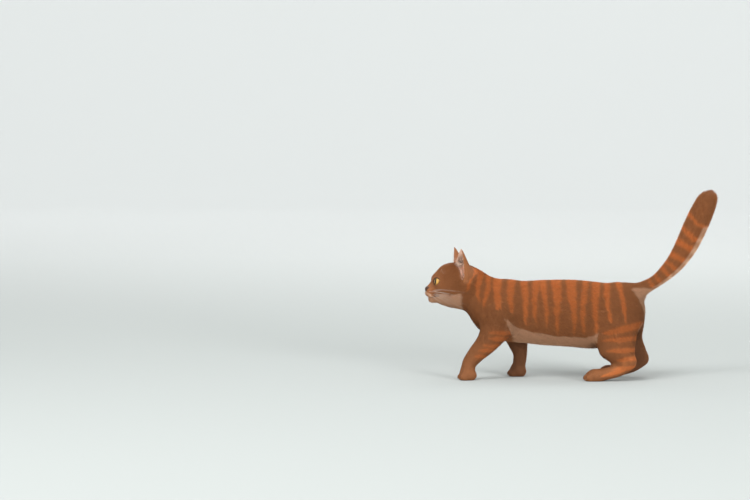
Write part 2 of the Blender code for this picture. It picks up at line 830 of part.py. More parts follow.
def build_head(body, cat, cutters):
    """The head with its ears, eyes and nose."""
    nodes = []
    for name, side in SIDES.items():
        node = ear("ear_" + name, side, cat)
        trim_to_skin(node, body, cutters)
        nodes.append(node)
    head = part_off(body, "head", beyond(NECK_CUT[0], NECK_CUT[1], 150, 200), cat, cutters)
    plug = region_plug(head_frame() @ Matrix.Translation(NOSE_PLUG), NOSE_RADII)
    nose = part_off(head, "nose", plug, cat, cutters)
    for side in SIDES.values():
        place = head_frame() @ Matrix.Translation(side_point(NOSTRIL, side))
        cut_away(nose, ball("nostril", place, (2.5, NOSTRIL_RADIUS, NOSTRIL_RADIUS * 0.8), cutters, 10))
        open_lids(head, side, cutters)
    cut_mouth(head, cutters)
    grow_whiskers(head)
    keep_largest(head)
    for name, side in SIDES.items():
        radii = (EYE_RADIUS, EYE_RADIUS, EYE_RADIUS)
        nodes.append(ball("eye_" + name, eye_frame(side), radii, cat, 20))
    return [head, nose, *nodes]


def build_limbs(body, cat, cutters):
    """The legs and paws, each parted from what is left of the body."""
    nodes = []
    for name, side in SIDES.items():
        far = side > 0
        leg = part_off(body, "front_leg_" + name, region_column(FORE_REGION[name]), cat, cutters)
        wrist = (PAWS["front_" + name][0], PAWS["front_" + name][1], WRIST_HEIGHT)
        paw = part_off(leg, "front_paw_" + name, beyond(wrist, (0, 0, -1), 60, 90), cat, cutters)
        step = FAR_HIND_STEP if far else 0.0
        stations = [
            (x + step * share, side * abs(y), z, length, width)
            for (x, y, z, length, width), share in zip(HIND_REGION, HIND_SHARES)
        ]
        hind = part_off(body, "hind_leg_" + name, region_column(stations), cat, cutters)
        ankle = (ANKLE[0] + step, side * abs(ANKLE[1]), ANKLE[2])
        foot = part_off(hind, "hind_paw_" + name, beyond(ankle, (-1, 0, -0.35), 70, 60), cat, cutters)
        nodes += [leg, paw, hind, foot]
    return nodes


def build_tail(body, cat, cutters):
    base = part_off(body, "tail_base", beyond(*TAIL_CUTS[0], 250, 400), cat, cutters)
    middle = part_off(base, "tail_middle", beyond(*TAIL_CUTS[1], 250, 400), cat, cutters)
    tip = part_off(middle, "tail_tip", beyond(*TAIL_CUTS[2], 250, 400), cat, cutters)
    return [base, middle, tip]


def main():
    clear_scene()
    cat = collection("munchkin_cat")
    cutters = collection("cutters")
    body = whole_body(cutters)
    floor_cut(body, cutters)
    nodes = build_head(body, cat, cutters)
    nodes += build_tail(body, cat, cutters)
    nodes += [part_off(body, "neck", beyond(NECK_BASE[0], NECK_BASE[1], 70, 130), cat, cutters)]
    nodes += build_limbs(body, cat, cutters)
    torso = copy_of(body, "torso", cat)
    remove(body)
    nodes.append(torso)
    centre_on_floor(nodes)
    paint(nodes)


def centre_on_floor(nodes):
    """Moves the cat so that the middle of its box stands over the origin, with its soles on the floor."""
    corners = [vertex.co for node in nodes for vertex in node.data.vertices]
    low = [min(corner[axis] for corner in corners) for axis in range(3)]
    high = [max(corner[axis] for corner in corners) for axis in range(3)]
    shift = Matrix.Translation((-(low[0] + high[0]) / 2, -(low[1] + high[1]) / 2, -low[2]))
    for node in nodes:
        node.data.transform(shift)


def paint(nodes):
    colours = {"nose": (DARK_BROWN, 0.45), "eye": (AMBER, 0.08)}
    for node in nodes:
        colour, roughness = colours.get(node.name.split("_")[0], (BROWN, 0.85))
        node.data.materials.clear()
        node.data.materials.append(material(node.name, colour, roughness))


main()
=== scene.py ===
import math

import bmesh
import bpy
import numpy as np
from bpy.props import FloatProperty, FloatVectorProperty, IntProperty, PointerProperty
from mathutils import Matrix, Vector
from mathutils.kdtree import KDTree


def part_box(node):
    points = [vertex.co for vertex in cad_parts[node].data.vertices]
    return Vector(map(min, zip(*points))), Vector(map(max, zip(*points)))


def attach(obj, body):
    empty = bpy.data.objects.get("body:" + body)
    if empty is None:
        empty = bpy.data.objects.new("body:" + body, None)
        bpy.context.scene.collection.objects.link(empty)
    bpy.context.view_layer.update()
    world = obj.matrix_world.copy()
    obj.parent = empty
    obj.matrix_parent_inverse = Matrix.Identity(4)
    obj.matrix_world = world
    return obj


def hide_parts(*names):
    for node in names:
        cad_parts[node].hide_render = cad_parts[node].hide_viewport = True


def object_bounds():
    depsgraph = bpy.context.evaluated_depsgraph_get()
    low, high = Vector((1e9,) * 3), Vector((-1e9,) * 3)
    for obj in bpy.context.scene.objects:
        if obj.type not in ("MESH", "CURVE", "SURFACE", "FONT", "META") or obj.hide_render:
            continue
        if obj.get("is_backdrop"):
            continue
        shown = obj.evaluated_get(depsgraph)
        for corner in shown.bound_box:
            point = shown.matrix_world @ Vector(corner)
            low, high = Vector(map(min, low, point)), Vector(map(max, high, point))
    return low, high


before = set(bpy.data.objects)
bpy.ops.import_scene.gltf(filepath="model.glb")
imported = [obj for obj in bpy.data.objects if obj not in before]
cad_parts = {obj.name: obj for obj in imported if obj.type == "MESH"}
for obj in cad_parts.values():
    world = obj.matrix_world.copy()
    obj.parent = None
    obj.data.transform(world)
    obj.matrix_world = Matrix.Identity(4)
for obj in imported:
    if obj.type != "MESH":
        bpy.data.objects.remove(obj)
CAD_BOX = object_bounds()

bl_info = {
    "name": "Munchkin cat",
    "version": (1, 0, 0),
    "blender": (4, 5, 0),
    "location": "View3D > Sidebar > Munchkin cat",
    "description": "Skin, coat, eyes, nose, whiskers and claws of a short-legged brown tabby cat",
    "category": "Object",
}

MM = 0.001
BODY = "root"
MIDDLE = sum(corner[1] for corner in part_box("torso")) / 2 / MM
SEED = 7
SIDES = {"left": -1, "right": 1}
NOT_FLESH = ("eye_left", "eye_right", "nose")
FLESH = [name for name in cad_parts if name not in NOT_FLESH]

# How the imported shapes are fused, in millimetres, and the share of the skin's faces that is kept.
SKIN_GRAIN = 0.9
SKIN_OVERLAP = 0.22
SKIN_KEPT = 0.22
LEATHER_GRAIN = 0.4
LEATHER_SWELL = 0.25

# The head's own frame looks along -X, with its origin in the middle of the skull. Sizes are in millimetres,
# and turns in degrees, apart from the drop of the lids, which is in radians.
EYE_AHEAD = 28.4
EYE_ABOVE = 3.5
EYE_TURN_OUT = 25.0
EYE_TURN_UP = 6.0
EYE_TILT = -15.0
EYE_OPENING = (8.8, 6.5)
NOSE_TIP = (-54.0, 0.0, -11.0)
EAR_BASE = (4.0, 21.0, 21.0)
EAR_UP = (0.09, 0.28, 1.0)
EAR_FACING = (-0.94, 0.34, 0.1)
EAR_HEIGHT = 43.0
EAR_WIDTH = 39.5
EAR_FULLNESS = 0.65
EAR_CUP = (106.0, 72.0)
EAR_LEAN = 3.0
EAR_FLOOR = -6.0
LID_DROP = 0.14

# Where the head's skin is drawn out or in, in millimetres: centre, reach and push.
HEAD_SHAPING = [
    ((-46.0, 8.5, -19.0), 5.5, 1.5),
    ((-43.0, 0.0, -30.5), 5.0, 1.3),
    ((-18.0, 18.0, -28.0), 12.0, -3.6),
    ((-35.0, 13.0, -29.0), 6.5, -2.0),
]

# A nostril's middle, and its slit, across the face and up, in millimetres.
NOSTRIL = (3.4, -10.8)
NOSTRIL_SLIT = [(3.6, -10.7), (5.2, -10.4), (6.4, -9.7), (7.0, -8.9)]

# The lines of the mouth, and the nose leather's middle and half its width and height, in millimetres.
MOUTH_LINE = [(-53, 0, -22.2), (-51.5, 4, -23.8), (-48, 8.5, -24.6), (-42, 13.5, -24.2), (-34, 18.5, -23.0)]
PHILTRUM = [(-54, 0, -15.2), (-54, 0, -18.5), (-53, 0, -22.2)]
LEATHER_MIDDLE = (-50.0, 0.0, -10.4)
LEATHER_SIZE = (6.4, 5.0)
LIP_SINK = 0.9

# The tail's middle line, in millimetres: x and z.
TAIL_LINE = [(110, 155), (132, 167), (150, 176), (168, 191), (186, 209)]
TAIL_LINE += [(208, 241), (220, 270), (233, 299), (246, 334)]

# Rings round the tail, in millimetres: thickness, and a line from the upper side of the tail to the lower.
TAIL_RINGS = [
    (6.6, [(119, 176), (130, 160)]),
    (6.8, [(136, 183), (148, 169)]),
    (4.6, [(150, 194), (161, 176)]),
    (7.4, [(161, 207), (178, 186)]),
    (5.6, [(167, 216), (192, 197)]),
    (9.6, [(175, 229), (209, 213)]),
    (10.8, [(186, 253), (224, 230)]),
    (7.8, [(197, 277), (217, 256), (235, 250)]),
    (6.8, [(207, 303), (225, 281), (247, 274)]),
]
TAIL_PALE_END = 279.0

# The line of the back, in millimetres: x and z.
BACK_LINE = [(-185, 196), (-150, 180), (-120, 178), (60, 176), (110, 172)]

# Stripes down the flanks, in millimetres: x at the back, x and z at the lower end, widths above and below.
# The head has none in front of the neck's start.
FLANK_STRIPES = [
    (-173, -184, 162, 10, 6),
    (-161, -164, 142, 11, 5),
    (-145, -151, 135, 10, 6),
    (-128, -128, 101, 16, 8),
    (-104, -104, 101, 15, 4),
    (-82, -77, 106, 14, 6),
    (-61, -61, 108, 13, 5),
    (-46, -41, 104, 12, 5),
    (-25, -20, 91, 19, 5),
    (4, 8, 92, 20, 5),
    (27, 24, 92, 12, 6),
    (46, 47, 89, 15, 6),
    (65, 72, 103, 12, 5),
    (87, 99, 108, 11, 5),
]
NECK_START = -195.0

# Bands across the legs, in millimetres: x and z of the pointed front end and of the rear end, and thickness.
HIND_BANDS = [
    (56, 84, 121, 100, 12),
    (56, 72, 119, 77, 9),
    (63, 54, 117, 56, 9),
    (80, 38, 116, 41, 8),
    (74, 22, 108, 25, 8),
    (53, 8, 87, 20, 8),
]
FORE_BANDS = [
    (-146, 85, -111, 83, 8),
    (-146, 74, -117, 73, 8),
    (-157, 62, -134, 61, 7),
    (-164, 54, -144, 52, 7),
    (-171, 44, -158, 42, 6),
]

# How far back the far legs' bands lie, and the limits of the thigh and of the painted shade on inner sides.
FAR_FORE_STEP = 62.0
FAR_HIND_STEP = 24.0
THIGH_FRONT = 50.0
THIGH_TOP = 104.0
PAINTED_SHADE_TOP = 96.0

# The pale parts, in millimetres. The belly and the chin have the height of their upper edge along x. The
# belly's front and the rump have the x of their front edge along the height.
BELLY_EDGE = [(-116, 111), (-103, 98), (-88, 92), (-66, 87), (-31, 80), (5, 78), (30, 77), (42, 80), (55, 87)]
BELLY_FRONT = [(60, -95), (110, -116)]
RUMP_EDGE = [(105, 132), (130, 128), (148, 121), (160, 112)]
CHIN_EDGE = [(-264, 160), (-250, 153), (-240, 149), (-226, 156), (-215, 150), (-206, 153), (-194, 156)]
THROAT_REAR = -193.0
ELBOW = 72.0
RUMP_BOTTOM = 104.0
RUMP_TOP = 166.0

# The coat by part: length of the tufts, as a share of the longest, and depth of the coat in millimetres.
FLANK_COAT = (0.9, 1.9)
BELLY_COAT = (1.1, 2.4)
NECK_COAT = (0.85, 1.8)
TAIL_COAT = (1.05, 2.6)
THIGH_COAT = (0.7, 1.8)

# The same with the length in millimetres too.
SHIN_COAT = (3.4, 0.5)
EAR_COAT = (2.6, 0.25)
PAW_COAT = (2.6, 0.45)

# Heights in millimetres: the top of the belly's coat, the full coats of shin and thigh, and the hock.
BELLY_TOP = 80.0
LEG_HEIGHTS = (20.0, 100.0)
HOCK = 42.0

# The face's tufts, in millimetres: the shortest and the longest, the length at the nose with what each
# millimetre from there adds, and the coat's depth as a share of the length.
FACE_COAT = (1.6, 8.0)
FACE_GROWTH = (1.5, 0.085)
FACE_DEPTH = 0.2

# Eyes, toes and claws, in millimetres and degrees. A toe's bulge and a groove's sink have their height or
# depth, and their reach to each side.
CORNEA_BULGE = 0.9
TOE_TIP = 19.2
TOE_SPREAD = (-9.6, -3.3, 3.3, 9.6)
TOE_SETBACK = (3.2, 0.0, 0.0, 3.2)
TOE_GROOVES = (-6.5, 0.0, 6.5)
TOE_ROOT = 15.0
TOE_BULGE = (0.55, 1.9)
GROOVE_SINK = (1.5, 1.15)
CLAW_LENGTH = 3.2
CLAW_RADIUS = 0.6
CLAW_BACK = 2.0
CLAW_HEIGHT = 5.4
PAWS = ("front_paw_left", "front_paw_right", "hind_paw_left", "hind_paw_right")
PAW_TURN_OUT = 7.0

# Strands and tufts, in millimetres, with their ways in the head's own frame. A pair is a first value, and
# its step from one whisker, row, hair or millimetre of height to the next.
STRAND_STEPS = 10
STRAND_THICKNESS = 0.9
EAR_FRINGE = 1500
FRINGE_LENGTH = (14.5, -0.2)
FRINGE_WIDTH = 0.2
TUFT_SWAY = 0.16
TUFT_SINK = 0.3
WHISKER_FIRST = (-47.5, 11.0, -13.2)
WHISKER_STEP_BACK = (3.1, 1.9, 0.3)
WHISKER_STEP_DOWN = (0.6, 0.2, -2.6)
WHISKER_LENGTHS = (28.0, 42.0, 54.0, 62.0)
WHISKER_SWEEP = (0.12, 0.17)
WHISKER_RISE = (0.24, -0.17)
WHISKER_BEND = (0.30, 0.0, -0.24)
WHISKERS_IN_ROW = (2, 4, 4, 3)
WHISKER_RADIUS = 0.15
BROW_HAIRS = 3
BROW_FIRST = (-25.0, 13.0, 16.0)
BROW_STEP = (2.0, 2.5, 0.0)
BROW_LENGTH = (22.0, -2.0)
BROW_RADIUS = 0.12

# The stage, in metres, degrees and watts. A light has its name, place, size and power.
FLOOR_SIZE = 14.0
FLOOR_RISE = 3.5
FLOOR_FADE = (0.3, 7.6)
CAT_MIDDLE = (0.0, 0.0, 0.15)
CAMERA_RISE = 4.0
CAMERA_LEVEL = 0.165
CAMERA_AIM = (-0.352, 0.0, 0.230)
LIGHTS = [
    ("key_light", (-1.5, -2.4, 2.6), 1.8, 85.0),
    ("fill_light", (2.6, -4.2, 0.9), 1.6, 120.0),
    ("back_light", (0.4, 2.4, 3.2), 2.6, 50.0),
]


def linear(code):
    """A colour's linear values from its sRGB hex code."""
    parts = [int(code[i : i + 2], 16) / 255 for i in (1, 3, 5)]
    return (*[part / 12.92 if part <= 0.04045 else ((part + 0.055) / 1.055) ** 2.4 for part in parts], 1.0)


def colour(name, code, description):
    return FloatVectorProperty(
        name=name, description=description, default=linear(code), size=4, subtype="COLOR", min=0, max=1
    )


def length_of(name, value, description):
    return FloatProperty(name=name, description=description, default=value, unit="LENGTH", min=0)


class CoatSettings(bpy.types.PropertyGroup):
    """The coat's colours and how thick it grows."""

    brown: colour("Brown", "#7a4b2a", "Ground colour of the back, flanks, head and legs")
    stripe: colour("Stripe", "#a05a2c", "Warm orange brown of the tabby stripes")
    pale: colour("Pale", "#a27a5e", "Greyish fawn of the chin, throat, belly and under the tail")
    fawn: colour("Fawn", "#b8957a", "Lighter fawn where a ring of the tail meets its pale underside")
    # Painted shade: this darker brown stands for shadow on the inner sides of the legs, not for the coat's
    # own colour.
    shade: colour("Shade", "#623c22", "Darker brown of the inner sides of the legs")
    tufts: IntProperty(name="Tufts", description="How many tufts the coat has", default=340000, min=1000)
    length: length_of("Length", 0.0088, "Length of the body's longest tufts")


class EyeSettings(bpy.types.PropertyGroup):
    """The eyes' colours and pupils."""

    iris: colour("Iris", "#dcae5e", "Amber of the iris")
    pupil: colour("Pupil", "#150c08", "Dark of the pupil")
    pupil_width: length_of("Pupil width", 0.0026, "Half the pupil's width")
    pupil_height: length_of("Pupil height", 0.0052, "Half the pupil's height")


class StageSettings(bpy.types.PropertyGroup):
    """The camera, and the colours of floor and backdrop."""

    distance: length_of("Distance", 5.06, "From the camera to the cat")
    lens: FloatProperty(name="Lens", description="Focal length in millimetres", default=135.0)
    floor: colour("Floor", "#a9adab", "Plain pale floor under the lamps")
    backdrop: colour("Backdrop", "#f4f6f5", "Plain pale backdrop out of the lamps' reach")


def use(obj):
    """Makes obj the only one selected."""
    bpy.ops.object.select_all(action="DESELECT")
    obj.select_set(True)
    bpy.context.view_layer.objects.active = obj


def add_modifier(obj, kind, **settings):
    """Adds a modifier with its settings and applies it."""
    use(obj)
    made = obj.modifiers.new(kind.lower(), kind)
    for key, value in settings.items():
        setattr(made, key, value)
    bpy.ops.object.modifier_apply(modifier=made.name)


def points_of(obj):
    found = np.empty(len(obj.data.vertices) * 3)
    obj.data.vertices.foreach_get("co", found)
    return found.reshape(-1, 3)


def normals_of(obj):
    found = np.empty(len(obj.data.vertices) * 3)
    obj.data.vertex_normals.foreach_get("vector", found)
    return found.reshape(-1, 3)


def edges_of(obj):
    found = np.empty(len(obj.data.edges) * 2, dtype=np.int32)
    obj.data.edges.foreach_get("vertices", found)
    return found.reshape(-1, 2)


def place_points(obj, points):
    obj.data.vertices.foreach_set("co", points.ravel())
    obj.data.update()


def eased(values, edges, share, rounds):
    """Values moved toward the mean of their neighbours, each vertex by its own share."""
    count = np.bincount(edges.ravel(), minlength=len(values)).clip(1)
    for _ in range(rounds):
        total = np.empty_like(values)
        for k in range(values.shape[1]):
            column = values[:, k]
            total[:, k] = np.bincount(edges[:, 0], column[edges[:, 1]], len(values))
            total[:, k] += np.bincount(edges[:, 1], column[edges[:, 0]], len(values))
        values = values + share[:, None] * (total / count[:, None] - values)
    return values


def ramp(value, low, high):
    """Climbs smoothly from 0 at low to 1 at high."""
    share = np.clip((value - low) / (high - low), 0, 1)
    return share * share * (3 - 2 * share)


def unit(vectors):
    return vectors / np.maximum(np.linalg.norm(vectors, axis=-1, keepdims=True), 1e-9)


def ripple(points, wave):
    """A smooth uneven field from -1 to 1, with bumps about one wave long."""
    x, y, z = (points / wave).T
    first = np.sin(x * 5.1 + 1.3 * np.sin(z * 4.3)) * np.sin(z * 6.7 + 1.7 * np.sin(y * 3.9))
    second = np.sin(y * 5.9 + 2.1) * np.sin(x * 9.1 + z * 7.7)
    return 0.6 * first + 0.4 * second


def eye_centre(side_name):
    low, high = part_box("eye_" + side_name)
    return (Vector(low) + Vector(high)) / 2


def eye_radius():
    low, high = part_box("eye_left")
    return (high[2] - low[2]) / 2


def head_frame():
    """Takes the head's own frame to the cat's, read from the places of the two eyes."""
    left = eye_centre("left")
    right = eye_centre("right")
    across = (right - left).normalized()
    ahead = Vector((across.y, -across.x, 0)).normalized()
    middle = (left + right) / 2 + ahead * EYE_AHEAD * MM - Vector((0, 0, EYE_ABOVE * MM))
    turn = Matrix((ahead, (-ahead.y, ahead.x, 0), (0, 0, 1))).transposed()
    return Matrix.Translation(middle) @ turn.to_4x4()


def side_point(point, side):
    return Vector((point[0], point[1] * side, point[2]))


def eye_frame(name):
    """The frame of one eye, whose X runs out between the lids, Y across and Z up."""
    side = SIDES[name]
    turn = Matrix.Rotation(math.radians(180 - side * EYE_TURN_OUT), 4, "Z")
    turn = turn @ Matrix.Rotation(math.radians(-EYE_TURN_UP), 4, "Y")
    turn = turn @ Matrix.Rotation(math.radians(side * EYE_TILT), 4, "X")
    return Matrix.Translation(eye_centre(name)) @ head_frame().to_3x3().to_4x4() @ turn


def into(matrix, points):
    """Points in the matrix's own frame, in millimetres."""
    back = np.array(matrix.inverted())
    return (points @ back[:3, :3].T + back[:3, 3]) / MM


def copied(name):
    """A copy of a CAD node, with its loose triangles joined."""
    made = bpy.data.objects.new(name + "_copy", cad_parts[name].data.copy())
    bpy.context.scene.collection.objects.link(made)
    use(made)
    bpy.ops.object.mode_set(mode="EDIT")
    bpy.ops.mesh.select_all(action="SELECT")
    bpy.ops.mesh.remove_doubles(threshold=1e-6)
    bpy.ops.object.mode_set(mode="OBJECT")
    return made


def take_strands_off(obj):
    """Takes the whiskers off a copy of the head, and closes the holes that they leave."""
    bpy.context.view_layer.update()
    thin = []
    for spot, way in zip(points_of(obj), normals_of(obj)):
        inward = obj.ray_cast(Vector(spot - 0.01 * MM * way), Vector(-way), distance=STRAND_THICKNESS * MM)
        thin.append(inward[0])
    use(obj)
    bpy.ops.object.mode_set(mode="EDIT")
    bpy.ops.mesh.select_mode(type="VERT")
    bpy.ops.mesh.select_all(action="DESELECT")
    bpy.ops.object.mode_set(mode="OBJECT")
    obj.data.vertices.foreach_set("select", thin)
    bpy.ops.object.mode_set(mode="EDIT")
    bpy.ops.mesh.delete(type="VERT")
    bpy.ops.mesh.select_all(action="SELECT")
    bpy.ops.mesh.delete_loose(use_verts=True, use_edges=True, use_faces=False)
    bpy.ops.mesh.select_all(action="SELECT")
    bpy.ops.mesh.fill_holes(sides=0)
    bpy.ops.object.mode_set(mode="OBJECT")


def nearest_nodes(points):
    """The number in FLESH of the CAD node that each point is nearest to."""
    nodes = [points_of(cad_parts[name]) for name in FLESH]
    owners = np.repeat(range(len(nodes)), [len(corners) for corners in nodes])
    tree = KDTree(len(owners))
    for index, corner in enumerate(np.concatenate(nodes)):
        tree.insert(corner, index)
    tree.balance()
    return owners[[tree.find(point)[1] for point in points]]


def among(labels, *starts):
    """Which labels belong to nodes whose names start with one of the words."""
    chosen = [number for number, name in enumerate(FLESH) if name.startswith(starts)]
    return np.isin(labels, chosen)


def line_distance(x, z, line):
    """Distance from points to a broken line in the side view, and how far along it they are, from 0 to 1."""
    best = np.full(len(x), 1e9)
    along = np.zeros(len(x))
    steps = len(line) - 1
    for i, ((ax, az), (bx, bz)) in enumerate(zip(line, line[1:])):
        dx, dz = bx - ax, bz - az
        share = np.clip(((x - ax) * dx + (z - az) * dz) / (dx * dx + dz * dz), 0, 1)
        distance = np.hypot(x - ax - share * dx, z - az - share * dz)
        closer = distance < best
        best = np.where(closer, distance, best)
        along = np.where(closer, (i + share) / steps, along)
    return best, along


def path_distance(points, path):
    """Distance from points in space to a broken line."""
    best = np.full(len(points), 1e9)
    for a, b in zip(np.array(path, dtype=float), np.array(path[1:], dtype=float)):
        step = b - a
        share = np.clip((points - a) @ step / (step @ step), 0, 1)
        best = np.minimum(best, np.linalg.norm(points - a - share[:, None] * step, axis=1))
    return best


def ear_axes(side):
    """The ear's base, and the ways up along it, out of its cup and across it to the outer side."""
    up = side_point(EAR_UP, side).normalized()
    facing = side_point(EAR_FACING, side)
    facing = (facing - up * facing.dot(up)).normalized()
    across = facing.cross(up) * side
    return [np.array(way) for way in (side_point(EAR_BASE, side), up, facing, across)]


def inside_of_ear(points, normals, side):
    """How far each place is on the inner side of an ear's cup, from 0 to 1, and the same for the head's skin
    between the two edges of the cup."""
    base, up, facing, _ = ear_axes(side)
    place = into(head_frame(), points) - base
    height = place @ up
    share = np.clip(height / EAR_HEIGHT, 0, 1)
    half = np.maximum(EAR_WIDTH / 2 * (1 - share) ** EAR_FULLNESS, 0.8)
    cup = np.radians(EAR_CUP[0] + (EAR_CUP[1] - EAR_CUP[0]) * share)
    ahead = half / np.tan(cup) + EAR_LEAN * share**2
    toward = facing * ahead[:, None] + up * height[:, None] - place
    faced = np.sum(unit(toward) * (normals @ np.array(head_frame().to_3x3())), axis=1)
    within = ramp(half / np.sin(cup) - np.linalg.norm(toward, axis=1), -1.5, 0.5)
    floor = within * ramp(-place @ facing, -0.5, 1.5) * ramp(height, EAR_FLOOR - 3, EAR_FLOOR)
    return ramp(faced, 0.05, 0.4) * ramp(height, EAR_FLOOR - 3, EAR_FLOOR), floor


def flank_stripes(x, z, back):
    """How far inside a stripe of the flank each point is, from 0 to 1."""
    mask = np.zeros(len(x))
    for top, foot_x, foot_z, above, below in FLANK_STRIPES:
        share = np.clip((back - z) / (back - foot_z), -0.3, 1.3)
        middle = top + (foot_x - top) * share + 1.5 * np.sin(share * 5 + top)
        half = (above + (below - above) * np.clip(share, 0, 1)) / 2
        half = half * np.sqrt(np.clip((1.12 - share) / 0.25, 0, 1))
        mask = np.maximum(mask, ramp(half - np.abs(x - middle), -1.0, 1.2))
    return mask


def leg_bands(x, z, bands, step):
    """How far inside a band across the leg each point is: pointed in front, full at the rear."""
    mask = np.zeros(len(x))
    for front_x, front_z, rear_x, rear_z, thick in bands:
        distance, along = line_distance(x, z, [(front_x + step, front_z), (rear_x + step + 6, rear_z)])
        half = thick / 2 * np.sqrt(np.clip(along * 2.2, 0.0, 1))
        mask = np.maximum(mask, ramp(half - distance, -0.8, 1.0))
    return mask


def markings(points, normals, labels):
    """The coat's pattern at each point, as four shares from 0 to 1: stripe, pale, painted shade and inner
    ear.
    """
    wander = ripple(points, 0.03)[:, None] * 1.4 + ripple(points, 0.009)[:, None] * 0.7
    mm = points / MM + wander * np.array([1.0, 0.0, 1.0])
    x, y, z = mm.T
    y = y - MIDDLE
    side = np.sign(y)
    _, along = line_distance(x, z, TAIL_LINE)
    body = among(labels, "torso", "neck")
    hind = among(labels, "hind")
    fore = among(labels, "front")
    tail = among(labels, "tail")
    head = among(labels, "head")

    back = np.interp(x, *zip(*BACK_LINE))
    stripe = np.where(body | head | (hind & (z > THIGH_TOP)), flank_stripes(x, z, back), 0)
    stripe = np.where(head & (x < NECK_START), 0, stripe)
    outward = ramp(side * normals[:, 1], -0.15, 0.3)
    far = (side > 0).astype(float)
    thigh = hind | (body & (x > THIGH_FRONT) & (z < THIGH_TOP))
    thigh_step = far * FAR_HIND_STEP * ramp(100 - z, 0, 60)
    stripe = np.maximum(stripe, np.where(thigh, leg_bands(x, z, HIND_BANDS, thigh_step) * outward, 0))
    fore_bands = leg_bands(x, z, FORE_BANDS, far * FAR_FORE_STEP) * outward
    stripe = np.maximum(stripe, np.where(fore, fore_bands, 0))

    rings = np.zeros(len(x))
    for thick, line in TAIL_RINGS:
        rings = np.maximum(rings, ramp(thick / 2 - line_distance(x, z, line)[0], -0.7, 0.8))
    stripe = np.where(tail, rings, stripe)

    belly = ramp(np.interp(x, *zip(*BELLY_EDGE)) - z, -1, 1)
    behind_leg = ramp(x - np.interp(z, *zip(*BELLY_FRONT)), -1, 1)
    pale = np.where(body | (fore & (z > ELBOW)), belly * behind_leg, 0)
    chin = ramp(np.interp(x, *zip(*CHIN_EDGE)) - z, -1.0, 1.5) * ramp(THROAT_REAR - x, -2, 2)
    pale = np.maximum(pale, np.where(head | body, chin, 0))
    run_x, run_z = tail_run(along).T
    below = ramp(normals[:, 0] * run_z - normals[:, 2] * run_x, 0.5, 0.66)
    pale = np.maximum(pale, np.where(tail, below * ramp(TAIL_PALE_END - z, 0, 6), 0))
    rump = ramp(x - np.interp(z, *zip(*RUMP_EDGE)), -1, 1)
    rump = rump * ramp(z, RUMP_BOTTOM, RUMP_BOTTOM + 4) * ramp(RUMP_TOP - z, 0, 4)
    pale = np.maximum(pale, np.where(body | hind, rump, 0))

    # Painted shade: leg surfaces that face in toward the body's middle are darkened as if in shadow, so the
    # far legs look shaded.
    inner = ramp(-side * normals[:, 1], 0.1, 0.6)
    shade = np.where((hind | fore) & (z < PAINTED_SHADE_TOP), inner, 0)
    ear = np.zeros(len(x))
    for name, sign in SIDES.items():
        cup, floor = inside_of_ear(points, normals, sign)
        ear = np.where(among(labels, "ear_" + name), cup, np.where(head, np.maximum(ear, floor), ear))
    stripe = np.where(tail, stripe, stripe * (1 - pale))
    return np.stack([stripe, pale, shade, ear], axis=1)


def tail_run(along):
    """The way the tail runs, in x and z, at each share of its length."""
    line = np.array(TAIL_LINE, dtype=float)
    slope = unit(np.gradient(line, axis=0))
    place = along * (len(line) - 1)
    return unit(np.stack([np.interp(place, range(len(line)), column) for column in slope.T], axis=1))


def lie_of_coat(points, normals, labels):
    """The way the hair points at each place, lying along the body."""
    mm = points / MM
    x, z = mm[:, 0], mm[:, 2]
    count = len(points)
    lie = np.tile([1.0, 0.0, -0.35], (count, 1))
    head = among(labels, "head")
    nose = np.array(head_frame() @ (Vector(NOSE_TIP) * MM))
    lie[head] = unit(points[head] - nose)
    lie[among(labels, "neck")] = (1.0, 0.0, -0.5)
    lie[among(labels, "front_leg")] = (0.25, 0.0, -1.0)
    thigh = among(labels, "hind_leg")
    lie[thigh] = np.where(z[thigh, None] > HOCK, [[0.45, 0.0, -1.0]], [[-1.0, 0.0, -0.4]])
    lie[among(labels, "front_paw", "hind_paw")] = (-1.0, 0.0, -0.45)
    tail = among(labels, "tail")
    run = tail_run(line_distance(x, z, TAIL_LINE)[1])
    lie[tail] = np.stack([run[tail, 0], np.zeros(tail.sum()), run[tail, 1]], axis=1)
    for name, side in SIDES.items():
        lie[among(labels, "ear_" + name)] = head_frame().to_3x3() @ side_point(EAR_UP, side)
    lie = unit(lie)
    return unit(lie - normals * np.sum(lie * normals, axis=1)[:, None])


def coat_sizes(points, labels):
    """Length of the tufts, and depth of the coat, at each place, in millimetres."""
    z = points[:, 2] / MM
    long = bpy.context.scene.coat_settings.length / MM
    sizes = np.tile((long * FLANK_COAT[0], FLANK_COAT[1]), (len(points), 1))
    sizes[among(labels, "torso") & (z < BELLY_TOP)] = (long * BELLY_COAT[0], BELLY_COAT[1])
    sizes[among(labels, "neck")] = (long * NECK_COAT[0], NECK_COAT[1])
    sizes[among(labels, "tail")] = (long * TAIL_COAT[0], TAIL_COAT[1])
    head = among(labels, "head")
    from_nose = np.linalg.norm(into(head_frame(), points) - np.array(NOSE_TIP), axis=1)
    sizes[head, 0] = np.clip(FACE_GROWTH[0] + FACE_GROWTH[1] * from_nose[head], *FACE_COAT)
    sizes[head, 1] = sizes[head, 0] * FACE_DEPTH
    legs = among(labels, "front_leg", "hind_leg")
    sizes[legs, 0] = np.interp(z[legs], LEG_HEIGHTS, (SHIN_COAT[0], long * THIGH_COAT[0]))
    sizes[legs, 1] = np.interp(z[legs], LEG_HEIGHTS, (SHIN_COAT[1], THIGH_COAT[1]))
    sizes[among(labels, "ear")] = EAR_COAT
    sizes[among(labels, "front_paw", "hind_paw")] = PAW_COAT
    return sizes


def eye_spots(points):
    """For each eye, the points in its own frame in millimetres."""
    return [into(eye_frame(name), points) for name in SIDES]


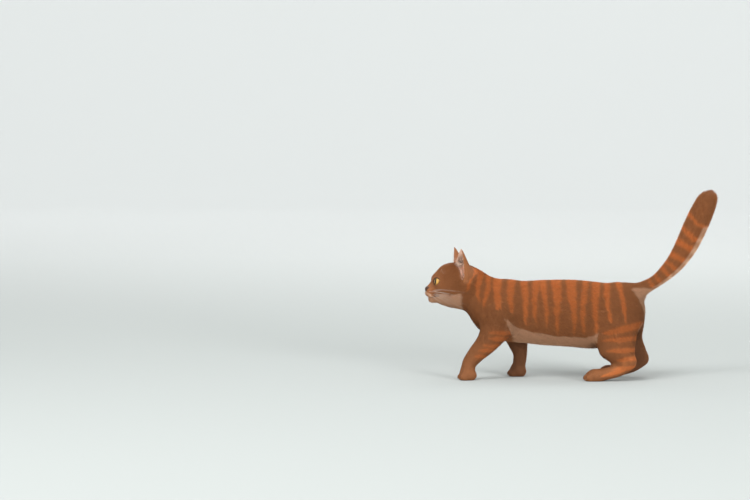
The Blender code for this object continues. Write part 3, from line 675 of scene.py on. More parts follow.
def drooped_lids(points):
    """How far each place moves as the upper lids slide down over the eyeballs."""
    shift = np.zeros_like(points)
    radius = eye_radius() / MM
    for name, spot in zip(SIDES, eye_spots(points)):
        ring = np.sqrt((spot[:, 1] / EYE_OPENING[0]) ** 2 + (spot[:, 2] / EYE_OPENING[1]) ** 2)
        near = ramp(radius + 7 - np.linalg.norm(spot, axis=1), 0, 4) * ramp(spot[:, 0], 0, 2)
        turn = LID_DROP * near * ramp(spot[:, 2], 0, 4) * ramp(2.1 - ring, 0, 0.9)
        moved = spot.copy()
        moved[:, 0] = spot[:, 0] * np.cos(turn) + spot[:, 2] * np.sin(turn)
        moved[:, 2] = spot[:, 2] * np.cos(turn) - spot[:, 0] * np.sin(turn)
        shift += (moved - spot) @ np.array(eye_frame(name).to_3x3()).T * MM
    return shift


def toe_relief(points, labels):
    """How far the paws bulge over each toe and sink between two, in millimetres."""
    relief = np.zeros(len(points))
    for paw in PAWS:
        middle, turn = paw_frame(paw)
        spot = into(Matrix.Translation(middle) @ turn.to_4x4(), points)
        back = spot[:, 0] + TOE_TIP
        reach = ramp(TOE_ROOT - back, 0, 7) * ramp(spot[:, 2], 0.5, 3) * among(labels, paw)
        for groove in TOE_GROOVES:
            relief -= GROOVE_SINK[0] * np.exp(-(((spot[:, 1] - groove) / GROOVE_SINK[1]) ** 2)) * reach
        for across in TOE_SPREAD:
            relief += TOE_BULGE[0] * np.exp(-(((spot[:, 1] - across) / TOE_BULGE[1]) ** 2)) * reach
    return relief


def head_relief(in_head, labels):
    """How far the head's skin is drawn out at whisker pads and chin and in at the jaw, in millimetres."""
    relief = np.zeros(len(in_head))
    for centre, reach, push in HEAD_SHAPING:
        for side in sorted({1, -1 if centre[1] else 1}):
            away = np.linalg.norm(in_head - np.array(side_point(centre, side)), axis=1)
            relief += push * np.exp(-((away / reach) ** 2)) * among(labels, "head")
    return relief


def paw_frame(paw):
    """The middle of a paw's sole, and the turn from its own frame, which looks along -X, to the cat's."""
    low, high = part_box(paw)
    side = -1 if paw.endswith("left") else 1
    middle = Vector((low[0] + TOE_TIP * MM, (low[1] + high[1]) / 2, 0))
    return middle, Matrix.Rotation(math.radians(-side * PAW_TURN_OUT), 3, "Z")


def on_skin(skin, line):
    """The line's points brought to the nearest places of the skin, in the head's own frame."""
    head = head_frame()
    found = [skin.closest_point_on_mesh(head @ (Vector(point) * MM))[1] for point in line]
    return into(head, np.array(found))


def build_skin():
    """One skin over all the flesh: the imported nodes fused, smoothed, and thinned least at the head."""
    copies = [copied(name) for name in FLESH]
    take_strands_off(copies[FLESH.index("head")])
    for made in copies:
        add_modifier(made, "DISPLACE", mid_level=0.0, strength=SKIN_OVERLAP * MM)
    bpy.ops.object.select_all(action="DESELECT")
    for made in copies:
        made.select_set(True)
    bpy.ops.object.join()
    skin = bpy.context.view_layer.objects.active
    skin.name = "skin"
    add_modifier(skin, "REMESH", mode="VOXEL", voxel_size=SKIN_GRAIN * MM)

    points = points_of(skin)
    labels = nearest_nodes(points)
    share = np.full(len(points), 0.6)
    ahead = into(head_frame(), points)[:, 0]
    share = np.where(among(labels, "head"), np.interp(ahead, [-36, -26], [0.08, 0.25]), share)
    share[among(labels, "front_paw", "hind_paw")] = 0.06
    share[among(labels, "ear")] = 0.10
    edges = edges_of(skin)
    share = eased(share[:, None], edges, np.full(len(points), 0.5), 12)[:, 0]
    place_points(skin, eased(points, edges, share, 26))

    coarse = skin.vertex_groups.new(name="coarse")
    weight = np.where(among(labels, "head"), np.interp(ahead, [-20, 0], [0.12, 0.5]), 1.0)
    weight[among(labels, "ear", "front_paw", "hind_paw")] = 0.5
    for level in np.unique(np.round(weight, 1)):
        chosen = np.flatnonzero(np.round(weight, 1) == level)
        coarse.add(chosen.tolist(), max(float(level), 0.1), "REPLACE")
    thinned = {"ratio": SKIN_KEPT, "use_collapse_triangulate": True}
    add_modifier(skin, "DECIMATE", vertex_group="coarse", vertex_group_factor=0.01, **thinned)
    skin.vertex_groups.clear()
    return skin


def dress_skin(skin):
    """Draws the skin in by the coat's depth, shapes its toes, muzzle, lids and lips, stores the coat's
    pattern, lie and sizes on it, and unwraps it."""
    points = points_of(skin)
    normals = normals_of(skin)
    edges = edges_of(skin)
    labels = nearest_nodes(points)
    even = np.full(len(points), 0.5)
    sizes = eased(coat_sizes(points, labels), edges, even, 14)
    lie = eased(lie_of_coat(points, normals, labels), edges, even, 14)
    lie = unit(lie - normals * np.sum(lie * normals, axis=1)[:, None])
    pattern = eased(markings(points, normals, labels), edges, even, 1)

    in_head = into(head_frame(), points)
    lines = [[side_point(point, side) for point in MOUTH_LINE] for side in SIDES.values()]
    mouth = np.min([path_distance(in_head, on_skin(skin, line)) for line in [*lines, PHILTRUM]], axis=0)
    lips = ramp(1.5 - mouth, 0, 0.9)
    sole = ramp(1.2 - points[:, 2] / MM, 0, 0.8)
    bare = sole.copy()
    lids = np.zeros(len(points))
    radius = eye_radius() / MM
    points = points + drooped_lids(points)
    for spot in eye_spots(points):
        distance = np.linalg.norm(spot, axis=1)
        ring = np.sqrt((spot[:, 1] / EYE_OPENING[0]) ** 2 + (spot[:, 2] / EYE_OPENING[1]) ** 2)
        near = ramp(radius + 7 - distance, 0, 3) * (spot[:, 0] > 0)
        socket = ramp(radius + 1.2 - distance, 0, 0.6)
        bare = np.maximum(bare, socket)
        bare = np.maximum(bare, near * ramp(1.06 - ring, 0, 0.06))
        lids = np.maximum(lids, near * ramp(1.15 - ring, 0, 0.1))
        fold = 0.35 * np.exp(-(((ring - 1.12) / 0.1) ** 2)) - 0.3 * np.exp(-(((ring - 1.45) / 0.12) ** 2))
        points = points + normals * (fold * near * MM)[:, None]
    leather = (in_head - np.array(LEATHER_MIDDLE))[:, 1:] / LEATHER_SIZE
    nose = ramp(1.25 - np.sqrt(leather[:, 0] ** 2 + leather[:, 1] ** 2), 0, 0.2)
    nose = nose * ramp(-44 - in_head[:, 0], 0, 2)
    bare = np.maximum(bare, nose * ramp(in_head[:, 0], -60, -59))
    bare = np.maximum(bare, 0.9 * lips)
    depth = sizes[:, 1] * (1 - np.maximum(bare, ramp(2.0 - points[:, 2] / MM, 0, 1.5)))
    relief = toe_relief(points, labels) + head_relief(in_head, labels)
    points = points + normals * ((relief - depth) * MM)[:, None]
    points = points - normals * (np.exp(-((mouth / LIP_SINK) ** 2)) * LIP_SINK * MM)[:, None]
    place_points(skin, points)

    numbers = np.stack([lids, lips, sole, 1 - bare], axis=1)
    store(skin, "markings", pattern)
    store(skin, "bare_skin", numbers)
    store(skin, "coat_size", np.concatenate([sizes, labels[:, None], np.zeros((len(labels), 1))], axis=1))
    store(skin, "lie", np.concatenate([lie, np.zeros((len(lie), 1))], axis=1))
    use(skin)
    bpy.ops.object.mode_set(mode="EDIT")
    bpy.ops.mesh.select_all(action="SELECT")
    bpy.ops.uv.smart_project(angle_limit=math.radians(66), island_margin=0.003)
    bpy.ops.object.mode_set(mode="OBJECT")
    bpy.ops.object.shade_smooth()


def store(obj, name, values):
    """Keeps four numbers a vertex on the mesh as a colour attribute."""
    made = obj.data.attributes.new(name, "FLOAT_COLOR", "POINT")
    made.data.foreach_set("color", np.ascontiguousarray(values, dtype=np.float32).ravel())


def stored(obj, name):
    values = np.empty(len(obj.data.vertices) * 4, dtype=np.float32)
    obj.data.attributes[name].data.foreach_get("color", values)
    return values.reshape(-1, 4)


def add_node(tree, kind, inputs, **settings):
    """Adds a node, sets it up, and fills or links its inputs."""
    made = tree.nodes.new(kind)
    for key, value in settings.items():
        setattr(made, key, value)
    for key, value in inputs.items():
        if isinstance(value, bpy.types.NodeSocket):
            tree.links.new(value, made.inputs[key])
        else:
            made.inputs[key].default_value = value
    return made


def new_material(name):
    """A material with its node tree and its shader."""
    made = bpy.data.materials.new(name)
    made.use_nodes = True
    return made, made.node_tree, made.node_tree.nodes["Principled BSDF"]


# ShaderNodeMix keeps its colour sockets at these places once its data type is RGBA.
FACTOR, FIRST, SECOND, RESULT = 0, 6, 7, 2
RGBA = {"data_type": "RGBA"}


def coat_colour(tree):
    """The coat's colour from its pattern: brown, with stripes, pale parts and painted shade on the legs'
    inner sides.
    """
    coat = bpy.context.scene.coat_settings
    pattern = add_node(tree, "ShaderNodeAttribute", {}, attribute_name="markings")
    split = add_node(tree, "ShaderNodeSeparateColor", {"Color": pattern.outputs["Color"]})
    stripe, below, inner = split.outputs
    # The third share darkens the brown toward the shade colour: painted shade on the legs' inner sides.
    brown = add_node(tree, "ShaderNodeMix", {FACTOR: inner, FIRST: coat.brown, SECOND: coat.shade}, **RGBA)
    brown = brown.outputs[RESULT]
    warm = add_node(tree, "ShaderNodeMix", {FACTOR: stripe, FIRST: brown, SECOND: coat.stripe}, **RGBA)
    pale = add_node(tree, "ShaderNodeMix", {FACTOR: stripe, FIRST: coat.pale, SECOND: coat.fawn}, **RGBA)
    ends = {FIRST: warm.outputs[RESULT], SECOND: pale.outputs[RESULT]}
    colour = add_node(tree, "ShaderNodeMix", {FACTOR: below, **ends}, **RGBA)
    return colour.outputs[RESULT], pattern.outputs["Alpha"]


def coat_material():
    """Cat guard hair: keratin, soft and dull, with each tuft a little lighter or darker than the next and
    darker at its root."""
    made, tree, shader = new_material("short_cat_hair")
    base, ear = coat_colour(tree)
    inner = add_node(tree, "ShaderNodeMix", {FACTOR: ear, FIRST: base, SECOND: linear("#e6c5b2")}, **RGBA)
    tuft = add_node(tree, "ShaderNodeAttribute", {}, attribute_name="tuft")
    split = add_node(tree, "ShaderNodeSeparateColor", {"Color": tuft.outputs["Color"]})
    tone, tip, _ = split.outputs
    light = add_node(tree, "ShaderNodeMapRange", {0: tone, 1: 0.0, 2: 1.0, 3: 1.18, 4: 2.05})
    root = add_node(tree, "ShaderNodeMapRange", {0: tip, 1: 0.0, 2: 1.0, 3: 0.78, 4: 1.22})
    value = add_node(tree, "ShaderNodeMath", {0: light.outputs[0], 1: root.outputs[0]}, operation="MULTIPLY")
    shade = {"Value": value.outputs[0], "Color": inner.outputs[RESULT]}
    final = add_node(tree, "ShaderNodeHueSaturation", shade)
    tree.links.new(final.outputs[0], shader.inputs["Base Color"])
    shader.inputs["Roughness"].default_value = 0.55
    shader.inputs["IOR"].default_value = 1.55
    shader.inputs["Specular IOR Level"].default_value = 0.25
    return made


def skin_material():
    """Skin under short hair: the coat's colours with fine streaks of lying hair, pink inside the ears, and
    dark bare lids, lips and pads."""
    made, tree, shader = new_material("furred_skin")
    base, ear = coat_colour(tree)
    place = add_node(tree, "ShaderNodeTexCoord", {})
    along = {"Vector": place.outputs["Object"], "Scale": (0.16, 1.0, 1.0)}
    stretch = add_node(tree, "ShaderNodeMapping", along)
    # Hair is about 0.05 mm thick. Streaks of 0.6 mm stand for it, so that they show.
    grain = {"Vector": stretch.outputs[0], "Scale": 1700.0, "Detail": 4.0}
    streaks = add_node(tree, "ShaderNodeTexNoise", grain).outputs[0]
    light = add_node(tree, "ShaderNodeMapRange", {0: streaks, 1: 0.3, 2: 0.7, 3: 1.08, 4: 1.65})
    furred = add_node(tree, "ShaderNodeHueSaturation", {"Value": light.outputs[0], "Color": base})
    bare = add_node(tree, "ShaderNodeAttribute", {}, attribute_name="bare_skin")
    split = add_node(tree, "ShaderNodeSeparateColor", {"Color": bare.outputs["Color"]})
    lids, lips, soles = split.outputs
    mixed = furred.outputs[0]
    for share, tint in ((ear, "#f3cfbb"), (lids, "#2e1c14"), (lips, "#3c261c"), (soles, "#4a332b")):
        step = add_node(tree, "ShaderNodeMix", {FACTOR: share, FIRST: mixed, SECOND: linear(tint)}, **RGBA)
        mixed = step.outputs[RESULT]
    tree.links.new(mixed, shader.inputs["Base Color"])
    bump = add_node(tree, "ShaderNodeBump", {"Height": streaks, "Strength": 0.6, "Distance": 0.0004})
    tree.links.new(bump.outputs[0], shader.inputs["Normal"])
    shader.inputs["Roughness"].default_value = 0.75
    shader.inputs["IOR"].default_value = 1.4
    return made


def coat_pieces(skin, labels):
    """The parts of the coat: name, slot, and which places of the skin belong to it."""
    x = points_of(skin)[:, 0] / MM
    torso = among(labels, "torso")
    head = among(labels, "head")
    left = into(head_frame(), points_of(skin))[:, 1] < 0
    return [
        ("coat_head_left", "coat_head", head & left),
        ("coat_head_right", "coat_head", head & ~left),
        ("coat_neck", "coat_body", among(labels, "neck")),
        ("coat_shoulders", "coat_body", torso & (x < -75)),
        ("coat_ribs", "coat_body", torso & (x >= -75) & (x < -15)),
        ("coat_flanks", "coat_body", torso & (x >= -15) & (x < 45)),
        ("coat_rump", "coat_body", torso & (x >= 45)),
        ("coat_ears", "coat_ears", among(labels, "ear")),
        ("coat_front_legs", "coat_legs", among(labels, "front_leg")),
        ("coat_hind_leg_left", "coat_legs", among(labels, "hind_leg_left")),
        ("coat_hind_leg_right", "coat_legs", among(labels, "hind_leg_right")),
        ("coat_paws", "coat_paws", among(labels, "front_paw", "hind_paw")),
        ("coat_tail", "coat_tail", among(labels, "tail_base", "tail_middle")),
        ("coat_tail_end", "coat_tail", among(labels, "tail_tip")),
    ]


def tuft_density(labels):
    """How thickly the tufts stand, against the torso's."""
    density = np.ones(len(labels))
    density[among(labels, "head")] = 2.6
    density[among(labels, "ear")] = 1.8
    density[among(labels, "front_paw", "hind_paw")] = 2.0
    density[among(labels, "front_leg", "hind_leg", "neck")] = 1.35
    return density


def scatter(skin, rng):
    """Roots of the tufts over the skin: each one's triangle and its place in it."""
    mesh = skin.data
    mesh.calc_loop_triangles()
    corners = np.empty(len(mesh.loop_triangles) * 3, dtype=np.int32)
    loops = np.empty(len(mesh.loop_triangles) * 3, dtype=np.int32)
    mesh.loop_triangles.foreach_get("vertices", corners)
    mesh.loop_triangles.foreach_get("loops", loops)
    corners = corners.reshape(-1, 3)
    loops = loops.reshape(-1, 3)
    points = points_of(skin)
    labels = np.round(stored(skin, "coat_size")[:, 2]).astype(int)
    furred = stored(skin, "bare_skin")[:, 3]
    inner_ear = stored(skin, "markings")[:, 3]
    a, b, c = (points[corners[:, k]] for k in range(3))
    area = np.linalg.norm(np.cross(b - a, c - a), axis=1) / 2
    weight = tuft_density(labels) * np.clip(furred * 1.3 - 0.2, 0, 1) * (1 - 0.85 * inner_ear)
    reach = np.cumsum(area * weight[corners].mean(axis=1))
    count = bpy.context.scene.coat_settings.tufts
    picks = (np.arange(count) + rng.random(count)) / count * reach[-1]
    chosen = np.minimum(np.searchsorted(reach, picks), len(reach) - 1)
    first, second = rng.random((2, count))
    over = first + second > 1
    first, second = np.where(over, 1 - first, first), np.where(over, 1 - second, second)
    shares = np.stack([1 - first - second, first, second], axis=1)
    return corners[chosen], loops[chosen], shares


def mixed(values, corners, shares):
    """Vertex values at the roots."""
    return np.einsum("tk,tkc->tc", shares, values[corners])


def grow(name, material, roots, along, normals, sizes, patterns, tone, patches):
    """One piece of coat: at each root a thin three-sided spike, which lies along the body and tapers to a
    point. Sizes are length, rise as an angle, and width."""
    length, rise, width = sizes
    number = len(roots)
    side = np.cross(along, normals)
    tips = roots + (along * np.cos(rise)[:, None] + normals * np.sin(rise)[:, None]) * length[:, None]
    tips[:, 2] = np.maximum(tips[:, 2], 0.05 * MM)
    sunk = roots - normals * (TUFT_SINK * MM) - along * (0.1 * length)[:, None]
    ring = [
        sunk - side * width[:, None] / 2,
        sunk + side * width[:, None] / 2,
        sunk + normals * width[:, None] * 0.45,
    ]
    base = np.arange(number)[:, None, None] * 4
    faces = (base + np.array([[0, 1, 3], [1, 2, 3], [2, 0, 3], [0, 2, 1]])).reshape(-1, 3)
    mesh = bpy.data.meshes.new(name)
    mesh.from_pydata(np.stack([*ring, tips], axis=1).reshape(-1, 3), [], faces)
    made = bpy.data.objects.new(name, mesh)
    bpy.context.scene.collection.objects.link(made)
    at_root, at_tip = patterns
    store(made, "markings", np.stack([at_root, at_root, at_root, at_tip], axis=1).reshape(-1, 4))
    tuft = np.zeros((number, 4, 4))
    tuft[:, :, 0] = tone[:, None]
    tuft[:, 3, 1] = 1
    store(made, "tuft", tuft.reshape(-1, 4))
    patch = 0.0015 * np.array([[-1, -1], [1, -1], [0, -0.4], [0, 1]])
    spread = (patches[:, None, :] + patch)[:, faces[:4].ravel()]
    layer = mesh.uv_layers.new(name="OFBake")
    layer.data.foreach_set("uv", spread.ravel())
    mesh.shade_smooth()
    mesh.materials.append(material)
    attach(made, BODY)


def build_coat(skin):
    """Short tufts over the whole skin, in pieces, with the skin's pattern where each tuft shows."""
    rng = np.random.default_rng(SEED)
    corners, loops, shares = scatter(skin, rng)
    count = len(corners)
    normals = unit(mixed(normals_of(skin), corners, shares))
    lie = mixed(stored(skin, "lie")[:, :3], corners, shares)
    lie = unit(lie - normals * np.sum(lie * normals, axis=1)[:, None])
    sizes = mixed(stored(skin, "coat_size")[:, :2], corners, shares) * MM
    roots = mixed(points_of(skin), corners, shares)
    unwrap = np.empty(len(skin.data.loops) * 2)
    skin.data.uv_layers[0].data.foreach_get("uv", unwrap)
    patches = mixed(unwrap.reshape(-1, 2), loops, shares)
    side = np.cross(lie, normals)
    along = unit(lie + side * rng.normal(0, TUFT_SWAY, count)[:, None])
    length = sizes[:, 0] * rng.uniform(0.65, 1.2, count)
    rise = sizes[:, 1] / sizes[:, 0] * rng.uniform(0.55, 1.25, count)
    width = np.clip(length * 0.05, 0.22 * MM, 0.5 * MM)
    tone = rng.random(count)
    labels = np.round(stored(skin, "coat_size")[:, 2]).astype(int)
    places = labels[corners[:, 0]]
    patterns = []
    for share in (0.5, 0.9):
        spots = roots + along * (length * share)[:, None]
        patterns.append(markings(spots, normals, places))
    hair = coat_material()
    for name, slot, members in coat_pieces(skin, labels):
        own = np.flatnonzero(members[corners[:, 0]])
        grow(
            name,
            hair,
            roots[own],
            along[own],
            normals[own],
            (length[own], rise[own], width[own]),
            [pattern[own] for pattern in patterns],
            tone[own],
            patches[own],
        )


def build_ear_fringe(skin):
    """Long pale hairs that grow from the ear's inner edge and fan out across its cup."""
    rng = np.random.default_rng(SEED + 1)
    points = points_of(skin)
    normals = normals_of(skin)
    labels = np.round(stored(skin, "coat_size")[:, 2]).astype(int)
    inner = stored(skin, "markings")[:, 3]
    spots = into(head_frame(), points)
    turn = np.array(head_frame().to_3x3())
    unwrap = np.zeros((len(points), 2))
    corner = np.empty(len(skin.data.loops), dtype=np.int32)
    skin.data.loops.foreach_get("vertex_index", corner)
    places = np.empty(len(skin.data.loops) * 2)
    skin.data.uv_layers[0].data.foreach_get("uv", places)
    unwrap[corner] = places.reshape(-1, 2)
    material = fringe_material()
    for name, side in SIDES.items():
        base, up, facing, outward = ear_axes(side)
        place = spots - base
        height = place @ up
        across = place @ outward
        near = (inner > 0.4) & (np.linalg.norm(place, axis=1) < EAR_HEIGHT)
        edge = near & among(labels, "ear_" + name) & (height > -4) & (height < 30) & (across < -3)
        deep = near & (height < 3) & (across < 5)
        from_edge = rng.random(EAR_FRINGE) < 0.62
        chosen = rng.choice(np.flatnonzero(edge), EAR_FRINGE)
        chosen = np.where(from_edge, chosen, rng.choice(np.flatnonzero(deep), EAR_FRINGE))
        roots = points[chosen] + rng.normal(0, 0.3 * MM, (EAR_FRINGE, 3))
        fan = outward * 0.75 + up * 0.75 + facing * 0.25
        along = np.where(from_edge[:, None], fan, up * 0.8 + facing * 0.35 - outward * 0.1)
        along = unit((along + rng.normal(0, TUFT_SWAY, (EAR_FRINGE, 3))) @ turn.T)
        length = FRINGE_LENGTH[0] + FRINGE_LENGTH[1] * np.clip(height[chosen], 0, 30)
        length = length * MM * rng.uniform(0.6, 1.1, EAR_FRINGE)
        pattern = np.zeros((EAR_FRINGE, 4))
        grow(
            "coat_ear_fringe_" + name,
            material,
            roots,
            along,
            normals[chosen],
            (length, rng.uniform(0.05, 0.3, EAR_FRINGE), np.full(EAR_FRINGE, FRINGE_WIDTH * MM)),
            [pattern, pattern],
            rng.random(EAR_FRINGE),
            unwrap[chosen],
        )


def fringe_material():
    """Long fine hair inside the ear: pale keratin, each hair a little paler or darker than the next."""
    made, tree, shader = new_material("ear_fringe_hair")
    tuft = add_node(tree, "ShaderNodeAttribute", {}, attribute_name="tuft")
    split = add_node(tree, "ShaderNodeSeparateColor", {"Color": tuft.outputs["Color"]})
    ends = {FIRST: linear("#dbb096"), SECOND: linear("#fae3d1")}
    base = add_node(tree, "ShaderNodeMix", {FACTOR: split.outputs["Red"], **ends}, **RGBA)
    tree.links.new(base.outputs[RESULT], shader.inputs["Base Color"])
    shader.inputs["Roughness"].default_value = 0.5
    shader.inputs["IOR"].default_value = 1.55
    shader.inputs["Specular IOR Level"].default_value = 0.25
    return made


def eye_material():
    """A living eye: an amber iris with radial fibres and a tall dark pupil, under a wet clear cornea."""
    settings = bpy.context.scene.eye_settings
    made, tree, shader = new_material("wet_amber_eye")
    place = add_node(tree, "ShaderNodeAttribute", {}, attribute_name="eye_place")
    split = add_node(tree, "ShaderNodeSeparateXYZ", {0: place.outputs["Vector"]})
    flat = add_node(tree, "ShaderNodeCombineXYZ", {1: split.outputs[1], 2: split.outputs[2]})
    reach = add_node(tree, "ShaderNodeVectorMath", {0: flat.outputs[0]}, operation="LENGTH")
    ray = add_node(tree, "ShaderNodeVectorMath", {0: flat.outputs[0]}, operation="NORMALIZE")
    fibres = add_node(tree, "ShaderNodeTexNoise", {"Vector": ray.outputs[0], "Scale": 14.0, "Detail": 3.0})
    stretch = (1, eye_radius() / settings.pupil_width, eye_radius() / settings.pupil_height)
    oval = add_node(tree, "ShaderNodeVectorMath", {0: flat.outputs[0], 1: stretch}, operation="MULTIPLY")
    inside = add_node(tree, "ShaderNodeVectorMath", {0: oval.outputs[0]}, operation="LENGTH")
    away = reach.outputs["Value"]
    glow = add_node(tree, "ShaderNodeMapRange", {0: away, 1: 0.3, 2: 0.78, 3: 0.0, 4: 1.0})
    ends = {FIRST: settings.iris, SECOND: linear("#a4661f")}
    iris = add_node(tree, "ShaderNodeMix", {FACTOR: glow.outputs[0], **ends}, **RGBA)
    weave = add_node(tree, "ShaderNodeMapRange", {0: fibres.outputs[0], 1: 0.3, 2: 0.7, 3: 0.72, 4: 1.18})
    lit = {"Value": weave.outputs[0], "Color": iris.outputs[RESULT]}
    mixed = add_node(tree, "ShaderNodeHueSaturation", lit).outputs[0]
    for value, low, high, tint in (
        (away, 0.76, 0.84, linear("#3a2413")),
        (away, 0.88, 0.94, linear("#8d7461")),
        (inside.outputs["Value"], 1.06, 0.94, settings.pupil),
    ):
        share = add_node(tree, "ShaderNodeMapRange", {0: value, 1: low, 2: high})
        ends = {FIRST: mixed, SECOND: tint}
        mixed = add_node(tree, "ShaderNodeMix", {FACTOR: share.outputs[0], **ends}, **RGBA).outputs[RESULT]
    tree.links.new(mixed, shader.inputs["Base Color"])
    shader.inputs["Roughness"].default_value = 0.04
    shader.inputs["IOR"].default_value = 1.376
    return made


def wet_skin_material(name, code, roughness, grain_mm):
    """Bare skin such as lids and nose leather: dark, damp, and pebbled in cells about grain_mm across."""
    made, tree, shader = new_material(name)
    spot = add_node(tree, "ShaderNodeTexCoord", {}).outputs["Object"]
    grain = grain_mm * MM
    cells = add_node(tree, "ShaderNodeTexVoronoi", {"Vector": spot, "Scale": 1 / grain})
    pebbles = {"Height": cells.outputs["Distance"], "Strength": 0.5, "Distance": grain * 0.3}
    bump = add_node(tree, "ShaderNodeBump", pebbles)
    tree.links.new(bump.outputs[0], shader.inputs["Normal"])
    blotch = add_node(tree, "ShaderNodeTexNoise", {"Vector": spot, "Scale": 400.0, "Detail": 2.0})
    light = add_node(tree, "ShaderNodeMapRange", {0: blotch.outputs[0], 1: 0.3, 2: 0.7, 3: 0.8, 4: 1.2})
    base = add_node(tree, "ShaderNodeHueSaturation", {"Value": light.outputs[0], "Color": linear(code)})
    tree.links.new(base.outputs[0], shader.inputs["Base Color"])
    shader.inputs["Roughness"].default_value = roughness
    shader.inputs["IOR"].default_value = 1.4
    return made


def horn_material(name, code, roughness):
    """Keratin of whiskers and claws: smooth, pale and faintly glossy, a little uneven along its length."""
    made, tree, shader = new_material(name)
    spot = add_node(tree, "ShaderNodeTexCoord", {}).outputs["Object"]
    cloud = add_node(tree, "ShaderNodeTexNoise", {"Vector": spot, "Scale": 300.0, "Detail": 2.0})
    light = add_node(tree, "ShaderNodeMapRange", {0: cloud.outputs[0], 1: 0.3, 2: 0.7, 3: 0.9, 4: 1.08})
    base = add_node(tree, "ShaderNodeHueSaturation", {"Value": light.outputs[0], "Color": linear(code)})
    tree.links.new(base.outputs[0], shader.inputs["Base Color"])
    shader.inputs["Roughness"].default_value = roughness
    shader.inputs["IOR"].default_value = 1.55
    return made


def build_eyes():
    """Eyeballs with a bulging cornea, and the dark wet rim of the lids round each."""
    radius = eye_radius()
    ball_material = eye_material()
    rim_material = wet_skin_material("wet_lid_margin", "#2e1c14", 0.32, 0.35)
    for name in SIDES:
        bpy.ops.object.select_all(action="DESELECT")
        bpy.ops.mesh.primitive_uv_sphere_add(segments=64, ring_count=48, radius=radius)
        eye = bpy.context.object
        eye.name = "eyeball_" + name
        points = points_of(eye)
        points *= (1 + CORNEA_BULGE / (radius / MM) * ramp(points[:, 2] / radius, 0.62, 1.0))[:, None]
        place_points(eye, points)
        eye.data.transform(eye_frame(name) @ Matrix.Rotation(math.radians(90), 4, "Y"))
        level = eye_frame(name) @ Matrix.Rotation(math.radians(-SIDES[name] * EYE_TILT), 4, "X")
        spots = into(level, points_of(eye)) / (radius / MM)
        store(eye, "eye_place", np.concatenate([spots, np.zeros((len(spots), 1))], axis=1))
        finish_piece(eye, ball_material)
        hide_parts("eye_" + name)

        bpy.ops.object.select_all(action="DESELECT")
        bpy.ops.mesh.primitive_torus_add(major_segments=72, minor_segments=12, minor_radius=0.25)
        rim = bpy.context.object
        rim.name = "lid_rim_" + name
        x, y, z = points_of(rim).T
        turn = np.arctan2(y, x)
        roll = np.arctan2(z, np.hypot(x, y) - 1)
        across = np.cos(turn) * EYE_OPENING[0]
        above = np.sign(np.sin(turn)) * np.abs(np.sin(turn)) ** 1.3 * EYE_OPENING[1]
        ball = radius / MM + 0.3
        above = above - LID_DROP * ball * ramp(above, 0, 4) * 0.85
        ahead = np.sqrt(ball**2 - across**2 - above**2)
        spot = np.stack([ahead, across, above], axis=1)
        out = unit(spot)
        away = np.stack([across * 0, across / EYE_OPENING[0] ** 2, above / EYE_OPENING[1] ** 2], axis=1)
        away = unit(away - out * np.sum(away * out, axis=1)[:, None])
        spot = spot + out * (np.sin(roll) * 0.55)[:, None] + away * (np.cos(roll) * 0.6 + 0.2)[:, None]
        place_points(rim, spot * MM)
        rim.data.transform(eye_frame(name))
        face_outward(rim)
        finish_piece(rim, rim_material)


def face_outward(obj):
    """Joins the points that meet, and turns every face to the outside."""
    use(obj)
    bpy.ops.object.mode_set(mode="EDIT")
    bpy.ops.mesh.select_all(action="SELECT")
    bpy.ops.mesh.remove_doubles(threshold=1e-6)
    bpy.ops.mesh.normals_make_consistent(inside=False)
    bpy.ops.object.mode_set(mode="OBJECT")


def finish_piece(obj, material):
    """Smooth shading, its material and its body."""
    use(obj)
    bpy.ops.object.shade_smooth()
    obj.data.materials.clear()
    obj.data.materials.append(material)
    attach(obj, BODY)


def build_nose():
    """The nose leather with its nostrils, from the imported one, finer and softer at its edges."""
    nose = copied("nose")
    nose.name = "nose_leather"
    add_modifier(nose, "DISPLACE", mid_level=0.0, strength=LEATHER_SWELL * MM)
    add_modifier(nose, "REMESH", mode="VOXEL", voxel_size=LEATHER_GRAIN * MM)
    add_modifier(nose, "SMOOTH", iterations=5)
    points = points_of(nose)
    _, across, up = into(head_frame(), points).T
    back = np.array(head_frame().to_3x3().col[0])
    for side in SIDES.values():
        pit = np.hypot(across * side - NOSTRIL[0], up - NOSTRIL[1])
        slit = line_distance(across * side, up, NOSTRIL_SLIT)[0]
        depth = 1.6 * ramp(1.4 - pit, 0, 0.8) + 1.1 * ramp(0.9 - slit, 0, 0.6)
        points = points + depth[:, None] * MM * back
    place_points(nose, points)
    # The pebbles of a real nose are about 0.3 mm across. These are 0.6 mm, so that they show.
    finish_piece(nose, wet_skin_material("damp_nose_leather", "#4a2c1c", 0.38, 0.6))
    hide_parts("nose")


def tapered_strand():
    """The strand that whiskers and claws are copied from: one unit long, and tapering along Z."""
    bpy.ops.object.select_all(action="DESELECT")
    bpy.ops.mesh.primitive_circle_add(vertices=6, radius=1.0, fill_type="NGON")
    strand = bpy.context.object
    bpy.ops.object.mode_set(mode="EDIT")
    bpy.ops.mesh.select_all(action="SELECT")
    for step in range(STRAND_STEPS):
        bpy.ops.mesh.extrude_region_move(TRANSFORM_OT_translate={"value": (0, 0, 1 / STRAND_STEPS)})
        size = (1 - (step + 1) / (STRAND_STEPS + 0.4)) / (1 - step / (STRAND_STEPS + 0.4))
        bpy.ops.transform.resize(value=(size, size, 1))
    bpy.ops.mesh.select_all(action="SELECT")
    bpy.ops.mesh.fill_holes(sides=0)
    bpy.ops.mesh.normals_make_consistent(inside=False)
    bpy.ops.object.mode_set(mode="OBJECT")
    return strand


